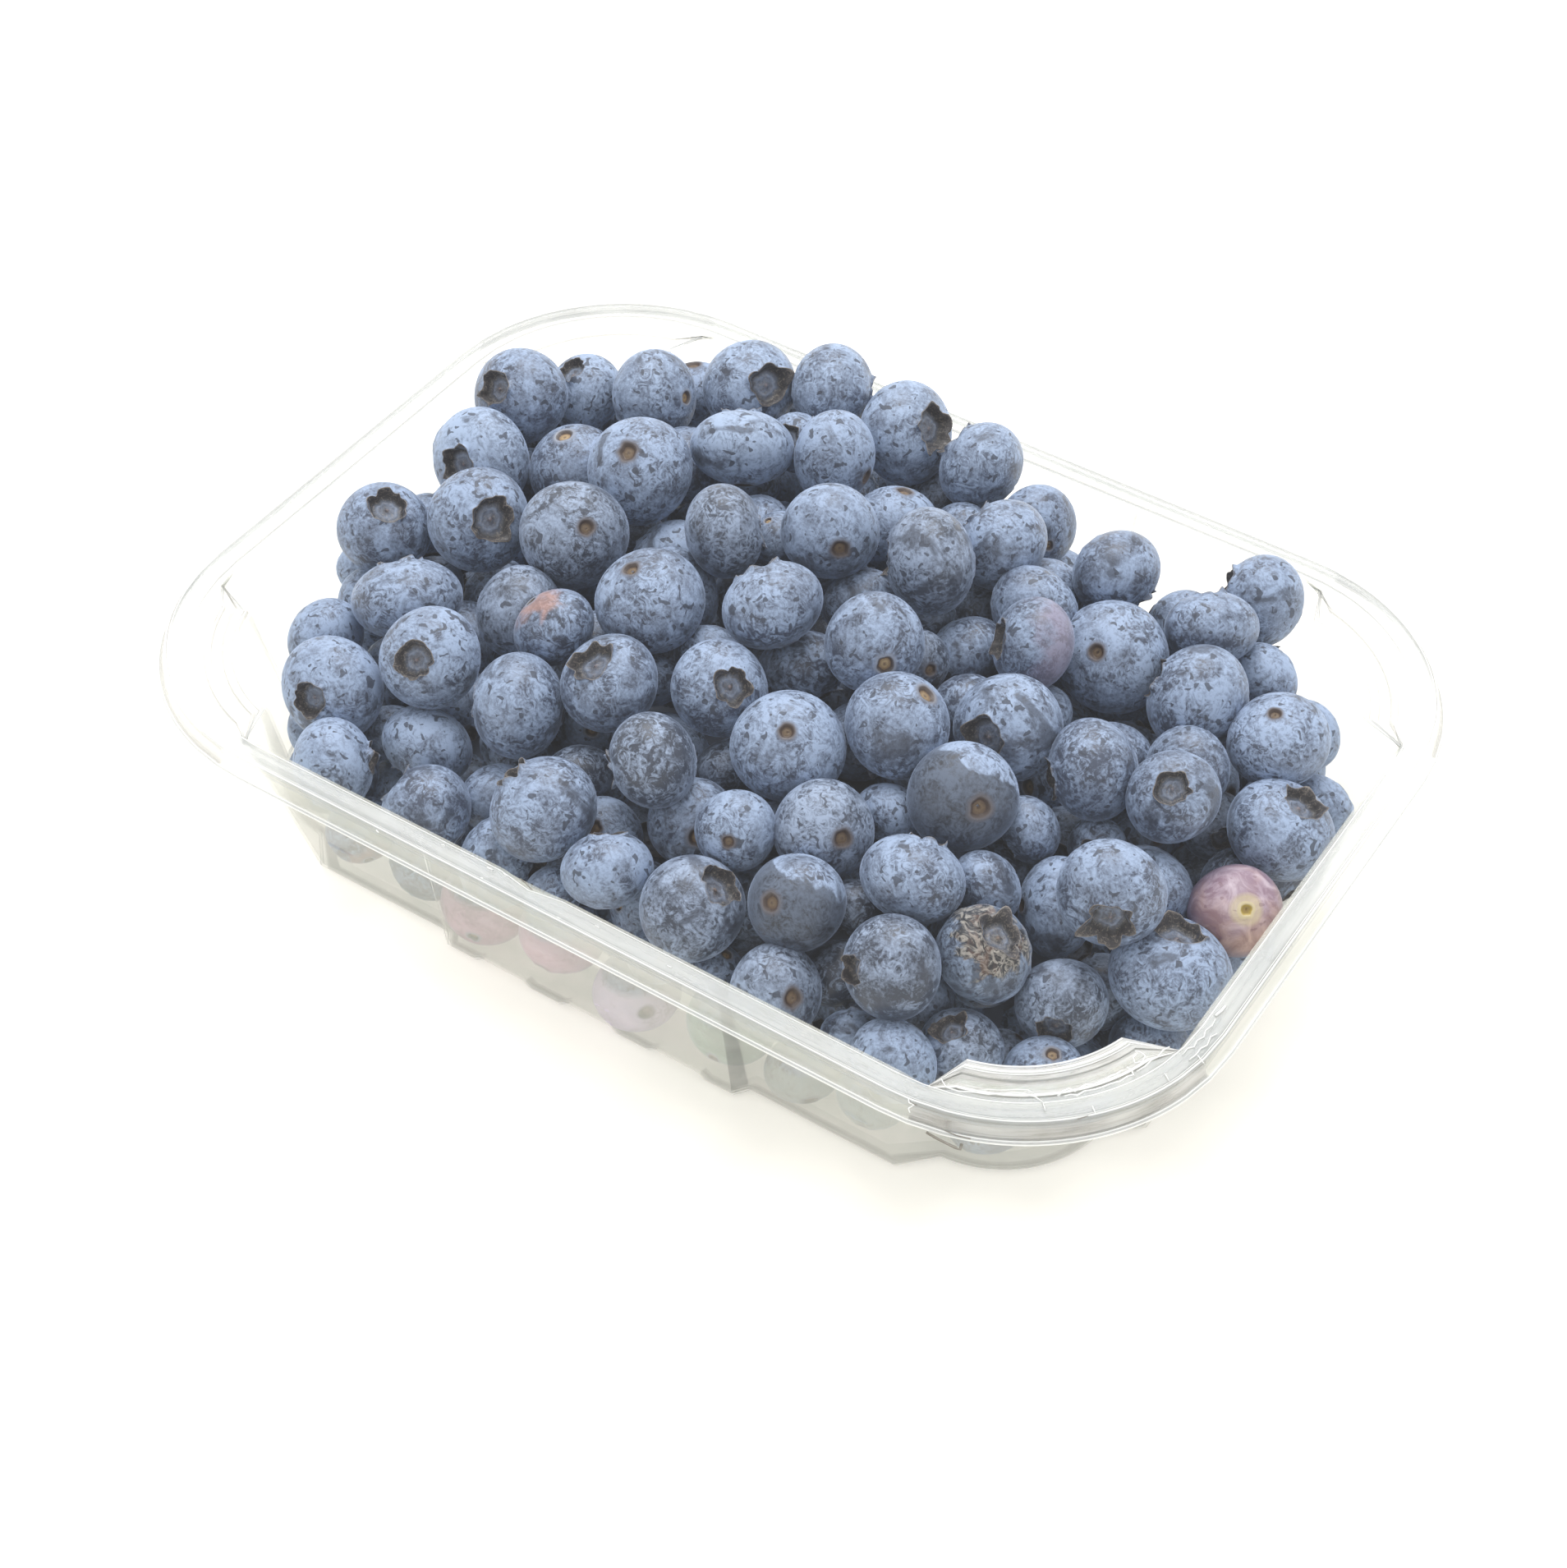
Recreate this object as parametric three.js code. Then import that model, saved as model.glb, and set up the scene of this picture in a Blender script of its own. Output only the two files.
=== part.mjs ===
// A punnet of blueberries: one thin clear tray and the heap of berries that fills it.
// Millimetres, +Z up. The origin is on the table, under the middle of the tray.
// The long side lies along X.
import * as THREE from 'three';

// ---- driving dimensions of the tray ----
const TRAY_LENGTH = 187;
const TRAY_WIDTH = 137;
const FLANGE_HEIGHT = 32;
const SHEET = 0.5;
const RIM_WIDTH = 5.2;
const RIM_CORNER_RADIUS = 31;

// The rim's section, from the inner edge of the flange outwards.
const BEAD_INNER = 2.9;
const BEAD_RISE = 0.35;
const BEAD_CREST = 3.4;
const SKIRT_TOP = 3.8;
const LIP_INNER = 4.3;
const LIP_DROP = 3;

// The ledge in each corner, a step down from the flange.
const LEDGE_DROP = 1.9;
const LEDGE_EDGE_RADIUS = 23;
const FLANGE_ROLL = 0.5;

// The body's walls lean inwards on the way down.
const WALL_LEAN = 4.2;
const CORNER_LEAN = 4;
const BASE_FILLET = 2;
const BAY_JOG = 1.6;
const BAY_RECESS_TOP = 0.3;
const BAY_RECESS_BASE = 2.2;
const LONG_BAY_HALF = 26.6;
const SHORT_BAY_HALF = 15;
const POST_LEAN = 6.8;
const POST_TURN = 11;
const LONG_POST = 61;
const SHORT_POST = 36.5;
const LONG_POST_ANGLE = 75;
const SHORT_POST_ANGLE = 17;
const POST_ROUNDING = 3;
const RIM_ARC_LEAD = 8;

// Feet under the middle bay of each long side, with low arches between them.
const FOOT_PITCH = 16.4;
const FOOT_WIDTH = 5.6;
const ARCH_RISE = 0.9;
const ARCH_SHOULDER = 1.2;
const FLOOR_SHARE = 0.86;

// ---- driving dimensions of the heap ----
const HEAP_GAP = 1;
const FLOOR_GAP = 0.4;
const HEAP_CORNER_PULL = 0.22;
const HEAP_CORNER_POWER = 4;
const BERRY_MEAN = 14.6;
const BERRY_SPREAD = 1.9;
const BERRY_SQUASH = 0.86;
const ROW_PITCH = 12.6;
const COLUMN_PITCH = 14.2;
const PLACE_JITTER = 3.6;
const HEIGHT_JITTER = 3.5;
const CORNER_CUT = 0.35;
const WALL_MARGIN = 1.2;
const HOLLOW_DEPTH = 3;
const EDGE_HEIGHT = 26;
const BACK_LIFT = 4.5;
const CROWN_RISE = 15.5;
const CROWN_POWER = 2.4;
const GRID_PITCH = 3.15;
const SHOULDER_DOWN = 0.35;
const SHOULDER_HEIGHT = 22;
const HEAP_SIDE_FOOT = 4.2;
const RANDOM_SEED = 20417;

const HALF_LENGTH = TRAY_LENGTH / 2 - RIM_WIDTH;
const HALF_WIDTH = TRAY_WIDTH / 2 - RIM_WIDTH;
const CORNER_X = HALF_LENGTH - RIM_CORNER_RADIUS;
const CORNER_Y = HALF_WIDTH - RIM_CORNER_RADIUS;
const LEDGE_HEIGHT = FLANGE_HEIGHT - LEDGE_DROP;
const ARC_STEPS = 8;

// ---- outlines ----
// Every outline of the tray has the same stations, so that neighbouring outlines join
// one to one. Only a quarter is described, from the middle of the long side round the
// corner to the middle of the short side, and the other three mirror it.

function polar(radius, degrees) {
  const angle = THREE.MathUtils.degToRad(degrees);
  return [CORNER_X + radius * Math.cos(angle), CORNER_Y + radius * Math.sin(angle)];
}

// Stations along the middle bay of a long side, at the shoulders of its arches.
function bayStations() {
  const stations = [0];
  for (const foot of [0.5, 1.5]) {
    const inner = foot * FOOT_PITCH - FOOT_WIDTH / 2;
    const outer = foot * FOOT_PITCH + FOOT_WIDTH / 2;
    stations.push(inner - ARCH_SHOULDER, inner);
    if (foot < 1) {
      stations.push(outer, outer + ARCH_SHOULDER);
    }
  }
  return stations;
}

// The rim: a plain rounded rectangle, `offset` outside the inner edge of the flange.
function rimQuarter(offset) {
  const edge = HALF_WIDTH + offset;
  const side = HALF_LENGTH + offset;
  const radius = RIM_CORNER_RADIUS + offset;
  const points = bayStations().map((x) => [x, edge]);
  points.push([LONG_BAY_HALF, edge], [LONG_BAY_HALF + BAY_JOG, edge]);
  points.push([(LONG_BAY_HALF + CORNER_X) / 2, edge]);
  points.push([CORNER_X, edge], polar(radius, LONG_POST_ANGLE + RIM_ARC_LEAD));
  for (let step = 0; step <= ARC_STEPS; step += 1) {
    points.push(polar(radius, THREE.MathUtils.lerp(LONG_POST_ANGLE, SHORT_POST_ANGLE, step / ARC_STEPS)));
  }
  points.push(polar(radius, SHORT_POST_ANGLE - RIM_ARC_LEAD), [side, CORNER_Y]);
  points.push([side, SHORT_BAY_HALF + BAY_JOG], [side, SHORT_BAY_HALF], [side, 0]);
  return points;
}

// The body: bays in the sides, and a step in at each corner. `down` runs from 0 at the
// ledge to 1 at the base, and `inset` moves the whole outline inwards.
function bodyQuarter(down, inset) {
  const lean = FLANGE_ROLL + WALL_LEAN * down + inset;
  const recess = THREE.MathUtils.lerp(BAY_RECESS_TOP, BAY_RECESS_BASE, down);
  const bayY = HALF_WIDTH - lean;
  const bayX = HALF_LENGTH - lean;
  const endY = bayY - recess;
  const endX = bayX - recess;
  const radius = LEDGE_EDGE_RADIUS - CORNER_LEAN * down - inset;
  const longPost = LONG_POST - POST_LEAN * down - inset;
  const shortPost = SHORT_POST - POST_LEAN * down - inset;
  const longAngle = LONG_POST_ANGLE + POST_TURN * down;
  const shortAngle = SHORT_POST_ANGLE - POST_TURN * down;
  const points = bayStations().map((x) => [x, bayY]);
  points.push([LONG_BAY_HALF, bayY], [LONG_BAY_HALF + BAY_JOG, endY]);
  points.push([(LONG_BAY_HALF + longPost) / 2, endY]);
  points.push([longPost - POST_ROUNDING, endY], [longPost, endY]);
  for (let step = 0; step <= ARC_STEPS; step += 1) {
    points.push(polar(radius, THREE.MathUtils.lerp(longAngle, shortAngle, step / ARC_STEPS)));
  }
  points.push([endX, shortPost], [endX, shortPost - POST_ROUNDING]);
  points.push([endX, SHORT_BAY_HALF + BAY_JOG], [bayX, SHORT_BAY_HALF], [bayX, 0]);
  return points;
}

// The step from flange to ledge: it follows the rim in the corner and the wall elsewhere.
function ledgeQuarter() {
  const rim = rimQuarter(-FLANGE_ROLL - BAY_RECESS_TOP);
  const body = bodyQuarter(0, 0);
  const first = bayStations().length + 4;
  const last = first + ARC_STEPS + 2;
  return body.map((point, index) => (index >= first && index <= last ? rim[index] : point));
}

function shrunk(quarter, share) {
  return quarter.map(([x, y]) => [x * share, y * share]);
}

function mirrorQuarter(quarter) {
  const loop = [];
  const turns = [[1, 1], [1, -1], [-1, -1], [-1, 1]];
  turns.forEach(([signX, signY], turn) => {
    const points = quarter.map(([x, y, z]) => [x * signX, y * signY, z]);
    if (turn % 2 === 1) {
      points.reverse();
    }
    loop.push(...points.slice(0, -1));
  });
  return loop;
}

function ring(quarter, height) {
  const lift = typeof height === 'function' ? height : () => height;
  return mirrorQuarter(quarter.map(([x, y]) => [x, y, lift(x, y)]));
}

// ---- surfaces ----

function archLift(x, y) {
  const underBay = Math.abs(x) < LONG_BAY_HALF - 0.1 && Math.abs(y) > HALF_WIDTH - RIM_CORNER_RADIUS;
  if (!underBay) {
    return 0;
  }
  const fromFoot = Math.abs(((Math.abs(x) / FOOT_PITCH) % 1) - 0.5) * FOOT_PITCH;
  return fromFoot > FOOT_WIDTH / 2 + 0.01 ? ARCH_RISE : 0;
}

// The upper skin of the tray, as rings from the lip inwards to the floor.
function trayRings() {
  const lipHeight = FLANGE_HEIGHT - LIP_DROP;
  return [
    ring(rimQuarter(RIM_WIDTH), lipHeight),
    ring(rimQuarter(LIP_INNER), lipHeight),
    ring(rimQuarter(SKIRT_TOP), FLANGE_HEIGHT - BEAD_RISE),
    ring(rimQuarter(BEAD_CREST), FLANGE_HEIGHT + BEAD_RISE),
    ring(rimQuarter(BEAD_INNER), FLANGE_HEIGHT),
    ring(rimQuarter(0), FLANGE_HEIGHT),
    ring(ledgeQuarter(), LEDGE_HEIGHT),
    ring(bodyQuarter(0, 0.3), LEDGE_HEIGHT - 0.3),
    ring(bodyQuarter(1, 0), (x, y) => SHEET + BASE_FILLET + archLift(x, y)),
    ring(bodyQuarter(1, BASE_FILLET), (x, y) => SHEET + archLift(x, y)),
    ring(shrunk(bodyQuarter(1, BASE_FILLET), FLOOR_SHARE), SHEET),
  ];
}

// Triangles between neighbouring rings that run from the outside in, facing up.
function bandTriangles(bands, count) {
  const triangles = [];
  for (let band = 0; band < bands; band += 1) {
    for (let station = 0; station < count; station += 1) {
      const here = band * count + station;
      const next = band * count + ((station + 1) % count);
      triangles.push([next, here, here + count], [next, here + count, next + count]);
    }
  }
  return triangles;
}

// Triangles from the ring that starts at `base` to one point in its middle, facing up.
function fanTriangles(base, count, middle) {
  const triangles = [];
  for (let station = 0; station < count; station += 1) {
    triangles.push([base + ((station + 1) % count), base + station, middle]);
  }
  return triangles;
}

function flip(triangles) {
  return triangles.map(([a, b, c]) => [a, c, b]);
}

// A surface through a stack of rings, closed in the middle of the last one.
function skin(rings) {
  const count = rings[0].length;
  const last = rings.length - 1;
  const middle = [0, 0, rings[last][0][2]];
  const positions = [...rings.flat(2), ...middle];
  const fill = fanTriangles(last * count, count, rings.length * count);
  return { positions, triangles: [...bandTriangles(last, count), ...fill], count };
}

function geometryFrom(positions, triangles) {
  const geometry = new THREE.BufferGeometry();
  geometry.setAttribute('position', new THREE.Float32BufferAttribute(positions, 3));
  geometry.setIndex(triangles.flat());
  return geometry;
}

// Moves each point of a skin to the other face of the sheet, along the mitre of its faces,
// but not below the table.
function offsetSkin(positions, triangles, distance) {
  const points = [];
  for (let index = 0; index < positions.length; index += 3) {
    points.push(new THREE.Vector3().fromArray(positions, index));
  }
  const faces = triangles.map(([a, b, c]) => {
    const edge = points[b].clone().sub(points[a]);
    return edge.cross(points[c].clone().sub(points[a])).normalize();
  });
  const around = points.map(() => []);
  triangles.forEach((corners, face) => corners.forEach((corner) => around[corner].push(faces[face])));
  return points.flatMap((point, index) => {
    const mean = around[index].reduce((sum, face) => sum.add(face), new THREE.Vector3()).normalize();
    const spread = Math.min(...around[index].map((face) => face.dot(mean)));
    const reach = distance / Math.max(spread, 0.7);
    const moved = point.clone().addScaledVector(mean, -reach);
    return [moved.x, moved.y, Math.max(0, moved.z)];
  });
}

// A thin sheet: the upper skin, the lower skin behind it, and the lip's edge between them.
function buildTray() {
  const upper = skin(trayRings());
  const lower = offsetSkin(upper.positions, upper.triangles, SHEET);
  const shift = upper.positions.length / 3;
  const lowerTriangles = flip(upper.triangles).map((corners) => corners.map((corner) => corner + shift));
  const edgeTriangles = [];
  for (let station = 0; station < upper.count; station += 1) {
    const next = (station + 1) % upper.count;
    edgeTriangles.push([station, next, station + shift], [next, next + shift, station + shift]);
  }
  const triangles = [...upper.triangles, ...lowerTriangles, ...edgeTriangles];
  return geometryFrom([...upper.positions, ...lower], triangles);
}

// ---- the heap ----

function seededRandom(seed) {
  let state = seed;
  return () => {
    state = (state * 1664525 + 1013904223) % 4294967296;
    return state / 4294967296;
  };
}

// Height of the middle of the uppermost berries: low along the rim, a crown in the middle.
function heapHeight(x, y) {
  const along = Math.min(1, Math.abs(x) / HALF_LENGTH) ** CROWN_POWER;
  const across = Math.min(1, Math.abs(y) / HALF_WIDTH) ** CROWN_POWER;
  const lift = BACK_LIFT * (y / HALF_WIDTH);
  return EDGE_HEIGHT + lift + CROWN_RISE * (1 - along) * (1 - across);
}

// True where a berry would pass mostly through the corner of the tray.
function outsideCorner(x, y, radius) {
  const overX = Math.abs(x) - CORNER_X;
  const overY = Math.abs(y) - CORNER_Y;
  return overX > 0 && overY > 0 && Math.hypot(overX, overY) > LEDGE_EDGE_RADIUS - radius * CORNER_CUT;
}

// One uppermost berry near this place, of an uneven size and turned any way.
function berryNear(x, y, random) {
  const radius = BERRY_MEAN / 2 + (random() + random() - 1) * BERRY_SPREAD;
  const limitX = HALF_LENGTH - radius - WALL_MARGIN;
  const limitY = HALF_WIDTH - radius - WALL_MARGIN;
  const placeX = THREE.MathUtils.clamp(x + (random() - 0.5) * PLACE_JITTER, -limitX, limitX);
  const placeY = THREE.MathUtils.clamp(y + (random() - 0.5) * PLACE_JITTER, -limitY, limitY);
  const height = heapHeight(placeX, placeY) + (random() - 0.5) * HEIGHT_JITTER;
  return { x: placeX, y: placeY, height, radius, turn: random() * Math.PI };
}

// The uppermost berries, in staggered and uneven rows.
function upperBerries() {
  const random = seededRandom(RANDOM_SEED);
  const berries = [];
  const rows = Math.floor((HALF_WIDTH - BERRY_MEAN / 2) / ROW_PITCH);
  for (let row = -rows; row <= rows; row += 1) {
    const stagger = row % 2 === 0 ? 0 : COLUMN_PITCH / 2;
    for (let x = stagger - HALF_LENGTH + BERRY_MEAN / 2; x < HALF_LENGTH; x += COLUMN_PITCH) {
      berries.push(berryNear(x, row * ROW_PITCH, random));
    }
  }
  return berries.filter(({ x, y, radius }) => !outsideCorner(x, y, radius));
}

// Height of a berry's domed upper side at this place. It falls away without end beside the
// berry, so that neighbours meet in a hollow.
function berryTop(berry, x, y) {
  const along = (x - berry.x) * Math.cos(berry.turn) + (y - berry.y) * Math.sin(berry.turn);
  const across = (y - berry.y) * Math.cos(berry.turn) - (x - berry.x) * Math.sin(berry.turn);
  const share = (along / berry.radius) ** 2 + (across / (berry.radius * BERRY_SQUASH)) ** 2;
  return berry.height + berry.radius * (1 - share);
}

// Places on a grid drawn out to the heap's outline, a rectangle with its corners pulled in
// to pass inside the corner posts. `u` and `v` run from -1 to 1.
function gridPlace(u, v, halfX, halfY) {
  const pullX = 1 - HEAP_CORNER_PULL * v ** HEAP_CORNER_POWER;
  const pullY = 1 - HEAP_CORNER_PULL * u ** HEAP_CORNER_POWER;
  return [halfX * u * pullX, halfY * v * pullY];
}

// Half the length and width of the heap where the wall is this far down.
function heapHalves(down) {
  const lean = FLANGE_ROLL + WALL_LEAN * down + HEAP_GAP;
  const recess = THREE.MathUtils.lerp(BAY_RECESS_TOP, BAY_RECESS_BASE, down);
  return [HALF_LENGTH - lean - recess, HALF_WIDTH - lean - recess];
}

// Grid points of the border as [u, v], in order round the heap, and their indices.
function borderPoints(columns, rows) {
  const points = [];
  const add = (column, row) => {
    points.push({
      index: row * (columns + 1) + column,
      u: (2 * column) / columns - 1,
      v: (2 * row) / rows - 1,
    });
  };
  for (let row = 0; row < rows; row += 1) {
    add(0, row);
  }
  for (let column = 0; column < columns; column += 1) {
    add(column, rows);
  }
  for (let row = rows; row > 0; row -= 1) {
    add(columns, row);
  }
  for (let column = columns; column > 0; column -= 1) {
    add(column, 0);
  }
  return points;
}

// The heap's upper side: domed berries with hollows between them, on a grid whose squares
// are split along alternate diagonals.
function heapTop(columns, rows) {
  const berries = upperBerries();
  const [halfX, halfY] = heapHalves(SHOULDER_DOWN);
  const positions = [];
  const triangles = [];
  for (let row = 0; row <= rows; row += 1) {
    for (let column = 0; column <= columns; column += 1) {
      const [x, y] = gridPlace((2 * column) / columns - 1, (2 * row) / rows - 1, halfX, halfY);
      const tops = berries.map((berry) => berryTop(berry, x, y));
      positions.push(x, y, Math.max(SHOULDER_HEIGHT, heapHeight(x, y) - HOLLOW_DEPTH, ...tops));
      if (row < rows && column < columns) {
        const here = row * (columns + 1) + column;
        const above = here + columns + 1;
        if ((row + column) % 2 === 0) {
          triangles.push([here, here + 1, above + 1], [here, above + 1, above]);
        } else {
          triangles.push([here, here + 1, above], [here + 1, above + 1, above]);
        }
      }
    }
  }
  return { positions, triangles };
}

// The heap: berries on top, and sides that follow the tray's walls down to the floor.
function buildHeap() {
  const columns = 2 * Math.round(HALF_LENGTH / GRID_PITCH);
  const rows = 2 * Math.round(HALF_WIDTH / GRID_PITCH);
  const { positions, triangles } = heapTop(columns, rows);
  const border = borderPoints(columns, rows);
  const [footX, footY] = heapHalves(1);
  const floorHeight = SHEET + FLOOR_GAP;
  let upper = border.map(({ index }) => index);
  for (const [share, height] of [[1, HEAP_SIDE_FOOT], [FLOOR_SHARE, floorHeight]]) {
    const lower = upper.map((_, station) => positions.length / 3 + station);
    border.forEach(({ u, v }) => positions.push(...gridPlace(u, v, footX * share, footY * share), height));
    upper.forEach((corner, station) => {
      const next = (station + 1) % upper.length;
      triangles.push([corner, upper[next], lower[station]], [upper[next], lower[next], lower[station]]);
    });
    upper = lower;
  }
  const middle = positions.length / 3;
  positions.push(0, 0, floorHeight);
  upper.forEach((corner, station) => triangles.push([corner, upper[(station + 1) % upper.length], middle]));
  return geometryFrom(positions, triangles);
}

// ---- the part ----

function piece(name, geometry, look) {
  const mesh = new THREE.Mesh(geometry, new THREE.MeshStandardMaterial(look));
  mesh.name = name;
  return mesh;
}

const punnet = new THREE.Group();
punnet.add(piece('tray', buildTray(), {
  color: 0xe9ece6, roughness: 0.15, metalness: 0, transparent: true, opacity: 0.45,
}));
punnet.add(piece('berries', buildHeap(), { color: 0x4a5f86, roughness: 0.65, metalness: 0 }));

export default punnet;
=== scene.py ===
"""A punnet of blueberries: a thin clear tray, its loose berries and the light they are seen in.

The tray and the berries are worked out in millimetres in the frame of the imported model,
and turned into metres when a mesh is made. The table and the light are given in metres.
"""
import math
from collections import namedtuple

import bmesh
import bpy
import numpy as np
from mathutils import Matrix, Vector


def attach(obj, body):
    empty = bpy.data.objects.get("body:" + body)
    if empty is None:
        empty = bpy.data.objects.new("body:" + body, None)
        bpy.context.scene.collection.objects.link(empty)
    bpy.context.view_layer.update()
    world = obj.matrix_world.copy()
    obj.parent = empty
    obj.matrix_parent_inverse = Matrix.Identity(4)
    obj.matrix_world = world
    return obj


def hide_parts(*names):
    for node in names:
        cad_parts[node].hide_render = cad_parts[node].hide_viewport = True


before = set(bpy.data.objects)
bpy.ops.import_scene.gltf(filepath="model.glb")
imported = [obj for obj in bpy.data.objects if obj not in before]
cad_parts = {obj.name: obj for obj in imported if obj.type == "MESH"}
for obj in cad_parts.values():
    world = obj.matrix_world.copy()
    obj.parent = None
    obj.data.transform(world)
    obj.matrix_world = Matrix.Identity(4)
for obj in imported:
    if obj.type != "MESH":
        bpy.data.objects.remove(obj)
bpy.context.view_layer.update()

MM = 0.001

# ---- the tray's driving sizes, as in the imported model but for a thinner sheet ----
TRAY_LENGTH = 187.0
TRAY_WIDTH = 137.0
FLANGE_HEIGHT = 32.0
SHEET = 0.45
RIM_WIDTH = 5.2
RIM_CORNER_RADIUS = 31.0
SKIRT_TOP = 3.8
LEDGE_DROP = 1.9
LEDGE_EDGE_RADIUS = 23.0
FLANGE_ROLL = 0.5
WALL_LEAN = 4.2
CORNER_LEAN = 4.0
BASE_FILLET = 2.0
BAY_JOG = 1.6
BAY_RECESS_TOP = 0.3
BAY_RECESS_BASE = 2.2
LONG_BAY_HALF = 26.6
SHORT_BAY_HALF = 15.0
POST_LEAN = 6.8
POST_TURN = 11.0
POST_ROUNDING = 3.0
LONG_POST = 61.0
SHORT_POST = 36.5
LONG_POST_ANGLE = 75.0
SHORT_POST_ANGLE = 17.0
RIM_ARC_LEAD = 8.0
FOOT_PITCH = 16.4
FOOT_WIDTH = 5.6
ARCH_RISE = 0.9
ARCH_SHOULDER = 1.2
FLOOR_SHARE = 0.86
ARC_STEPS = 22
NICK_X = -5.4
NICK_REACH = 5.0
NICK_DEPTH = 0.9
NICK_BAND = 1.0
NICK_FLOOR = 0.6
UNDER_ROLL = 0.5
WALL_BOW = 0.3
SHARP_FOLD = 38.0

HALF_LENGTH = TRAY_LENGTH / 2 - RIM_WIDTH
HALF_WIDTH = TRAY_WIDTH / 2 - RIM_WIDTH
CORNER_X = HALF_LENGTH - RIM_CORNER_RADIUS
CORNER_Y = HALF_WIDTH - RIM_CORNER_RADIUS
LEDGE_HEIGHT = FLANGE_HEIGHT - LEDGE_DROP

# ---- the heap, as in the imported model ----
EDGE_HEIGHT = 26.0
BACK_LIFT = 4.5
CROWN_RISE = 15.5
CROWN_POWER = 2.4

# ---- the dark filling under the berries ----
CORE_DEPTH = 19.0
CORE_FOOT = 4.0
CORE_COLUMNS = 26
CORE_ROWS = 18
CORE_END_MARGIN = 21.0
CORE_SIDE_MARGIN = 20.0
CORE_CORNER_PULL = 0.22
CORE_EDGE_DROP = 0.45

# ---- the photograph's camera ----
PHOTO_WIDTH = 1908
PHOTO_HEIGHT = 1909
FOCAL_PIXELS = 3600.0
CAMERA_AZIMUTH = 32.15
CAMERA_ELEVATION = 45.25
CAMERA_ROLL = 1.34
CAMERA_DISTANCE = 446.9
CAMERA_TARGET = (13.56, -25.24, 32.0)
SENSOR = 36.0

# ---- the light ----
WORLD_LIGHT = 0.95
SOFTBOX_PLACE = (-0.3, 0.5, 1.15)
SOFTBOX_SIZE = 1.0
SOFTBOX_POWER = 14.5
PICTURE_GAMMA = 1.12

# ---- the table, and its glow from near to far in metres ----
TABLE_HALF = 3.0
FLOOR_GLOW_START = -0.06
FLOOR_GLOW_END = 0.07
FLOOR_GLOW_NEAR = 0.3
FLOOR_GLOW_FAR = 0.8

# ---- light that the bright table adds over the whole picture ----
VEIL = 0.018


def camera_axes():
    """The camera's right, up and back directions and its place, in millimetres."""
    azimuth = math.radians(CAMERA_AZIMUTH)
    elevation = math.radians(CAMERA_ELEVATION)
    roll = math.radians(CAMERA_ROLL)
    back = np.array((
        math.sin(azimuth) * math.cos(elevation),
        -math.cos(azimuth) * math.cos(elevation),
        math.sin(elevation),
    ))
    level = np.array((math.cos(azimuth), math.sin(azimuth), 0.0))
    upright = np.cross(back, level)
    right = math.cos(roll) * level + math.sin(roll) * upright
    up = math.cos(roll) * upright - math.sin(roll) * level
    return right, up, back, np.array(CAMERA_TARGET) + back * CAMERA_DISTANCE


RIGHT, UP, BACK, EYE = camera_axes()


def sight_line(x, y):
    """Direction of a photo pixel's line of sight, one unit deep along the camera's axis."""
    across = (x - PHOTO_WIDTH / 2) / FOCAL_PIXELS
    down = (y - PHOTO_HEIGHT / 2) / FOCAL_PIXELS
    return RIGHT * across - UP * down - BACK


def add_camera():
    """The camera that was fitted to the photograph's tray."""
    data = bpy.data.cameras.new("camera")
    data.sensor_fit = "HORIZONTAL"
    data.sensor_width = SENSOR
    data.lens = FOCAL_PIXELS / PHOTO_WIDTH * SENSOR
    data.clip_start = 0.01
    camera = bpy.data.objects.new("camera", data)
    axes = Matrix((RIGHT, UP, BACK)).transposed().to_4x4()
    camera.matrix_world = Matrix.Translation(Vector(EYE) * MM) @ axes
    bpy.context.collection.objects.link(camera)
    bpy.context.scene.camera = camera


# ---- mesh helpers ----

def make_piece(name, points, faces, materials, values=None, face_slots=None):
    """A smooth mesh piece from points in millimetres. `values` names numbers per point."""
    mesh = bpy.data.meshes.new(name)
    mesh.from_pydata((np.asarray(points) * MM).tolist(), [], faces)
    for label, numbers in (values or {}).items():
        layer = mesh.attributes.new(label, "FLOAT", "POINT")
        layer.data.foreach_set("value", np.asarray(numbers, dtype=np.float32))
    for material in materials:
        mesh.materials.append(material)
    if face_slots is not None:
        mesh.polygons.foreach_set("material_index", np.asarray(face_slots, dtype=np.int32))
    mesh.shade_smooth()
    mesh.validate()
    piece = bpy.data.objects.new(name, mesh)
    bpy.context.collection.objects.link(piece)
    return piece


def band_faces(rows, count, start=0):
    """Quads between neighbouring closed rows of `count` points."""
    faces = []
    for row in range(rows - 1):
        first = start + row * count
        for station in range(count):
            following = (station + 1) % count
            faces.append((
                first + station,
                first + count + station,
                first + count + following,
                first + following,
            ))
    return faces


# ---- the tray's outlines ----

def polar(radius, degrees):
    """A point on an arc round the centre of the tray's corner."""
    angle = math.radians(degrees)
    return (CORNER_X + radius * math.cos(angle), CORNER_Y + radius * math.sin(angle))


def arc(radius, start, end):
    return [
        polar(radius, start + (end - start) * step / ARC_STEPS)
        for step in range(ARC_STEPS + 1)
    ]


# Where a bay steps back to the wall's end: its edge, a thin fold line, and the end's start.
JOG_LINE = 0.25
JOG_STATIONS = (LONG_BAY_HALF, LONG_BAY_HALF + BAY_JOG * JOG_LINE, LONG_BAY_HALF + BAY_JOG)


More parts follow.
